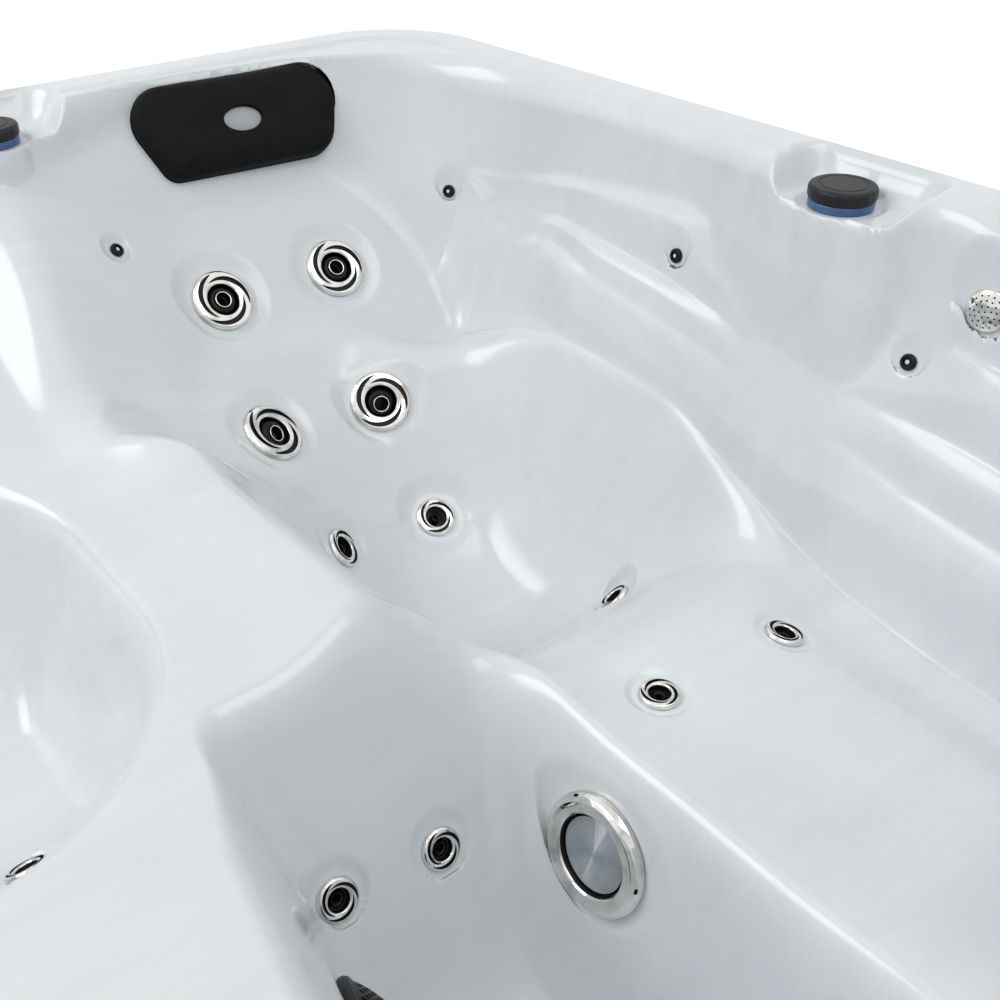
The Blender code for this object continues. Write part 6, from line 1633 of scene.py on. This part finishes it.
def seen_share(tree):
    """1 for camera, mirror and glass rays, 0 for the light that falls on the tub."""
    path = tree.nodes.new("ShaderNodeLightPath")
    first = add_node(tree, "ShaderNodeMath", operation="MAXIMUM")
    second = add_node(tree, "ShaderNodeMath", operation="MAXIMUM")
    tree.links.new(path.outputs["Is Camera Ray"], first.inputs[0])
    tree.links.new(path.outputs["Is Glossy Ray"], first.inputs[1])
    tree.links.new(first.outputs[0], second.inputs[0])
    tree.links.new(path.outputs["Is Transmission Ray"], second.inputs[1])
    return second.outputs[0]


def make_world():
    world = bpy.data.worlds.new("studio")
    bpy.context.scene.world = world
    world.use_nodes = True
    tree = world.node_tree
    back = tree.nodes["Background"]
    set_inputs(back, {"Color": WORLD_COLOUR, "Strength": WORLD_STRENGTH})
    seen = add_node(tree, "ShaderNodeBackground", {"Color": WHITE, "Strength": 1.0})
    mix = tree.nodes.new("ShaderNodeMixShader")
    tree.links.new(seen_share(tree), mix.inputs["Fac"])
    tree.links.new(back.outputs[0], mix.inputs[1])
    tree.links.new(seen.outputs[0], mix.inputs[2])
    tree.links.new(mix.outputs[0], tree.nodes["World Output"].inputs["Surface"])


def soft_box(name, place, target, size, power):
    lamp = bpy.data.lights.new(name, "AREA")
    lamp.shape = "RECTANGLE"
    lamp.size, lamp.size_y = size
    lamp.energy = power
    made = linked(name, lamp)
    made.location = place
    made.rotation_euler = (Vector(target) - Vector(place)).to_track_quat("-Z", "Y").to_euler()


def make_lights():
    soft_box("key", (-2.4, 1.6, 3.4), (0, 0, 0.5), (2.6, 2.0), 71)
    soft_box("over", (0.6, -1.2, 3.6), (0.2, 0.1, 0.4), (2.2, 1.6), 26)


def make_stage():
    """Pale floor that shows white where nothing shades it, and keeps the tub's shadow."""
    shape = bmesh.new()
    shape.faces.new([shape.verts.new((x * FLOOR_HALF, y * FLOOR_HALF, 0))
                     for x, y in ((-1, -1), (1, -1), (1, 1), (-1, 1))])
    mesh = as_mesh("floor", shape)
    made, tree, shader = node_material("studio_floor")
    cloud = noise(tree, object_place(tree), 1.2, 2, 0.4)
    tinted(tree, shader, cloud, [(0.3, FLOOR_COLOUR), (0.7, tuple(c * 1.01 for c in FLOOR_COLOUR))])
    glow = add_node(tree, "ShaderNodeMath", operation="MULTIPLY")
    tree.links.new(seen_share(tree), glow.inputs[0])
    glow.inputs[1].default_value = FLOOR_GLOW
    set_inputs(shader, {"Roughness": 0.9, "Emission Color": WHITE})
    tree.links.new(glow.outputs[0], shader.inputs["Emission Strength"])
    floor = linked("studio_floor", finished(mesh, made))


def make_camera():
    data = bpy.data.cameras.new("camera")
    data.lens = 42.88
    data.sensor_width = 36.0
    data.clip_start = 0.01
    camera = linked("camera", data)
    camera.location = (-0.371, -0.945, 1.42)
    camera.rotation_euler = (math.radians(56.4), 0, math.radians(-39.6))
    bpy.context.scene.camera = camera


def dress_frame():
    """Procedural finishes for the CAD nodes that stay."""
    kinds = {
        "chrome": nickel("nickel_trim_painted_reflections"),
        "black_plastic": plain("black_moulding", (0.016, 0.016, 0.018), 0.38, 0.0, 90, 0.1, 0.15),
        "white_plastic": plain("white_moulding", (0.74, 0.75, 0.76), 0.40, 0.0, 70, 0.03, 0.1),
        "pillow": plain("pillow_skin", (0.02, 0.02, 0.022), 0.6, 0.0, 90, 0.1, 0.3),
        "insert": plain("insert_moulding", (0.42, 0.44, 0.46), 0.35),
        "clear_blue": plain("blue_moulding", (0.05, 0.12, 0.34), 0.15),
        "lens": plain("lens_moulding", (0.35, 0.39, 0.43), 0.12),
        "cabinet_board": plain("board_moulding", (0.105, 0.108, 0.115), 0.6, 0.0, 60, 0.1, 0.3),
        "cabinet_trim": plain("post_moulding", (0.045, 0.046, 0.05), 0.5, 0.0, 60, 0.1, 0.3),
        "base": plain("tray_moulding", (0.03, 0.03, 0.032), 0.65, 0.0, 60, 0.1, 0.3),
        "filter": plain("filter_felt", (0.78, 0.79, 0.76), 0.85, 0.0, 80, 0.05, 0.4),
        "steel": plain("heater_steel", (0.56, 0.57, 0.58), 0.3, 1.0, 60, 0.05),
        "motor": plain("motor_enamel", (0.05, 0.055, 0.065), 0.45, 0.0, 60, 0.08, 0.1),
    }
    slots = {s["node"]: s["material_slot"] for s in frame["record"]["subparts"]}
    for name, node in NODES.items():
        slot = slots[name]
        if slot in kinds and name != "shell":
            node.data.materials.clear()
            finished(node.data, kinds[slot])


def main():
    bpy.context.scene.view_settings.view_transform = "Standard"
    make_world()
    make_lights()
    make_stage()
    make_camera()
    dress_frame()
    make_shell()
    chrome_finish = nickel("polished_nickel_painted_reflections")
    black_finish = plain("moulded_black", (0.006, 0.006, 0.007), 0.34, 0.0, 90, 0.12, 0.08, 0.2)
    make_jets(chrome_finish, black_finish)
    make_lamp_pins(black_finish, plain("pin_lens", (0.62, 0.65, 0.67), 0.15))
    make_light(nickel("bezel_nickel_painted_reflections", 0.06), black_finish, lens_material())
    make_suction_cover(plain("grille_black", (0.012, 0.012, 0.013), 0.42, 0.0, 90, 0.1, 0.1, 0.3))
    make_neck_jet(chrome_finish, black_finish)
    make_valves(plain("cap_black", (0.012, 0.012, 0.014), 0.45, 0.0, 90, 0.12, 0.12, 0.3),
                blue_material())
    make_pillows(leatherette("leatherette"), plain("window_grey", (0.40, 0.425, 0.45), 0.3))


main()
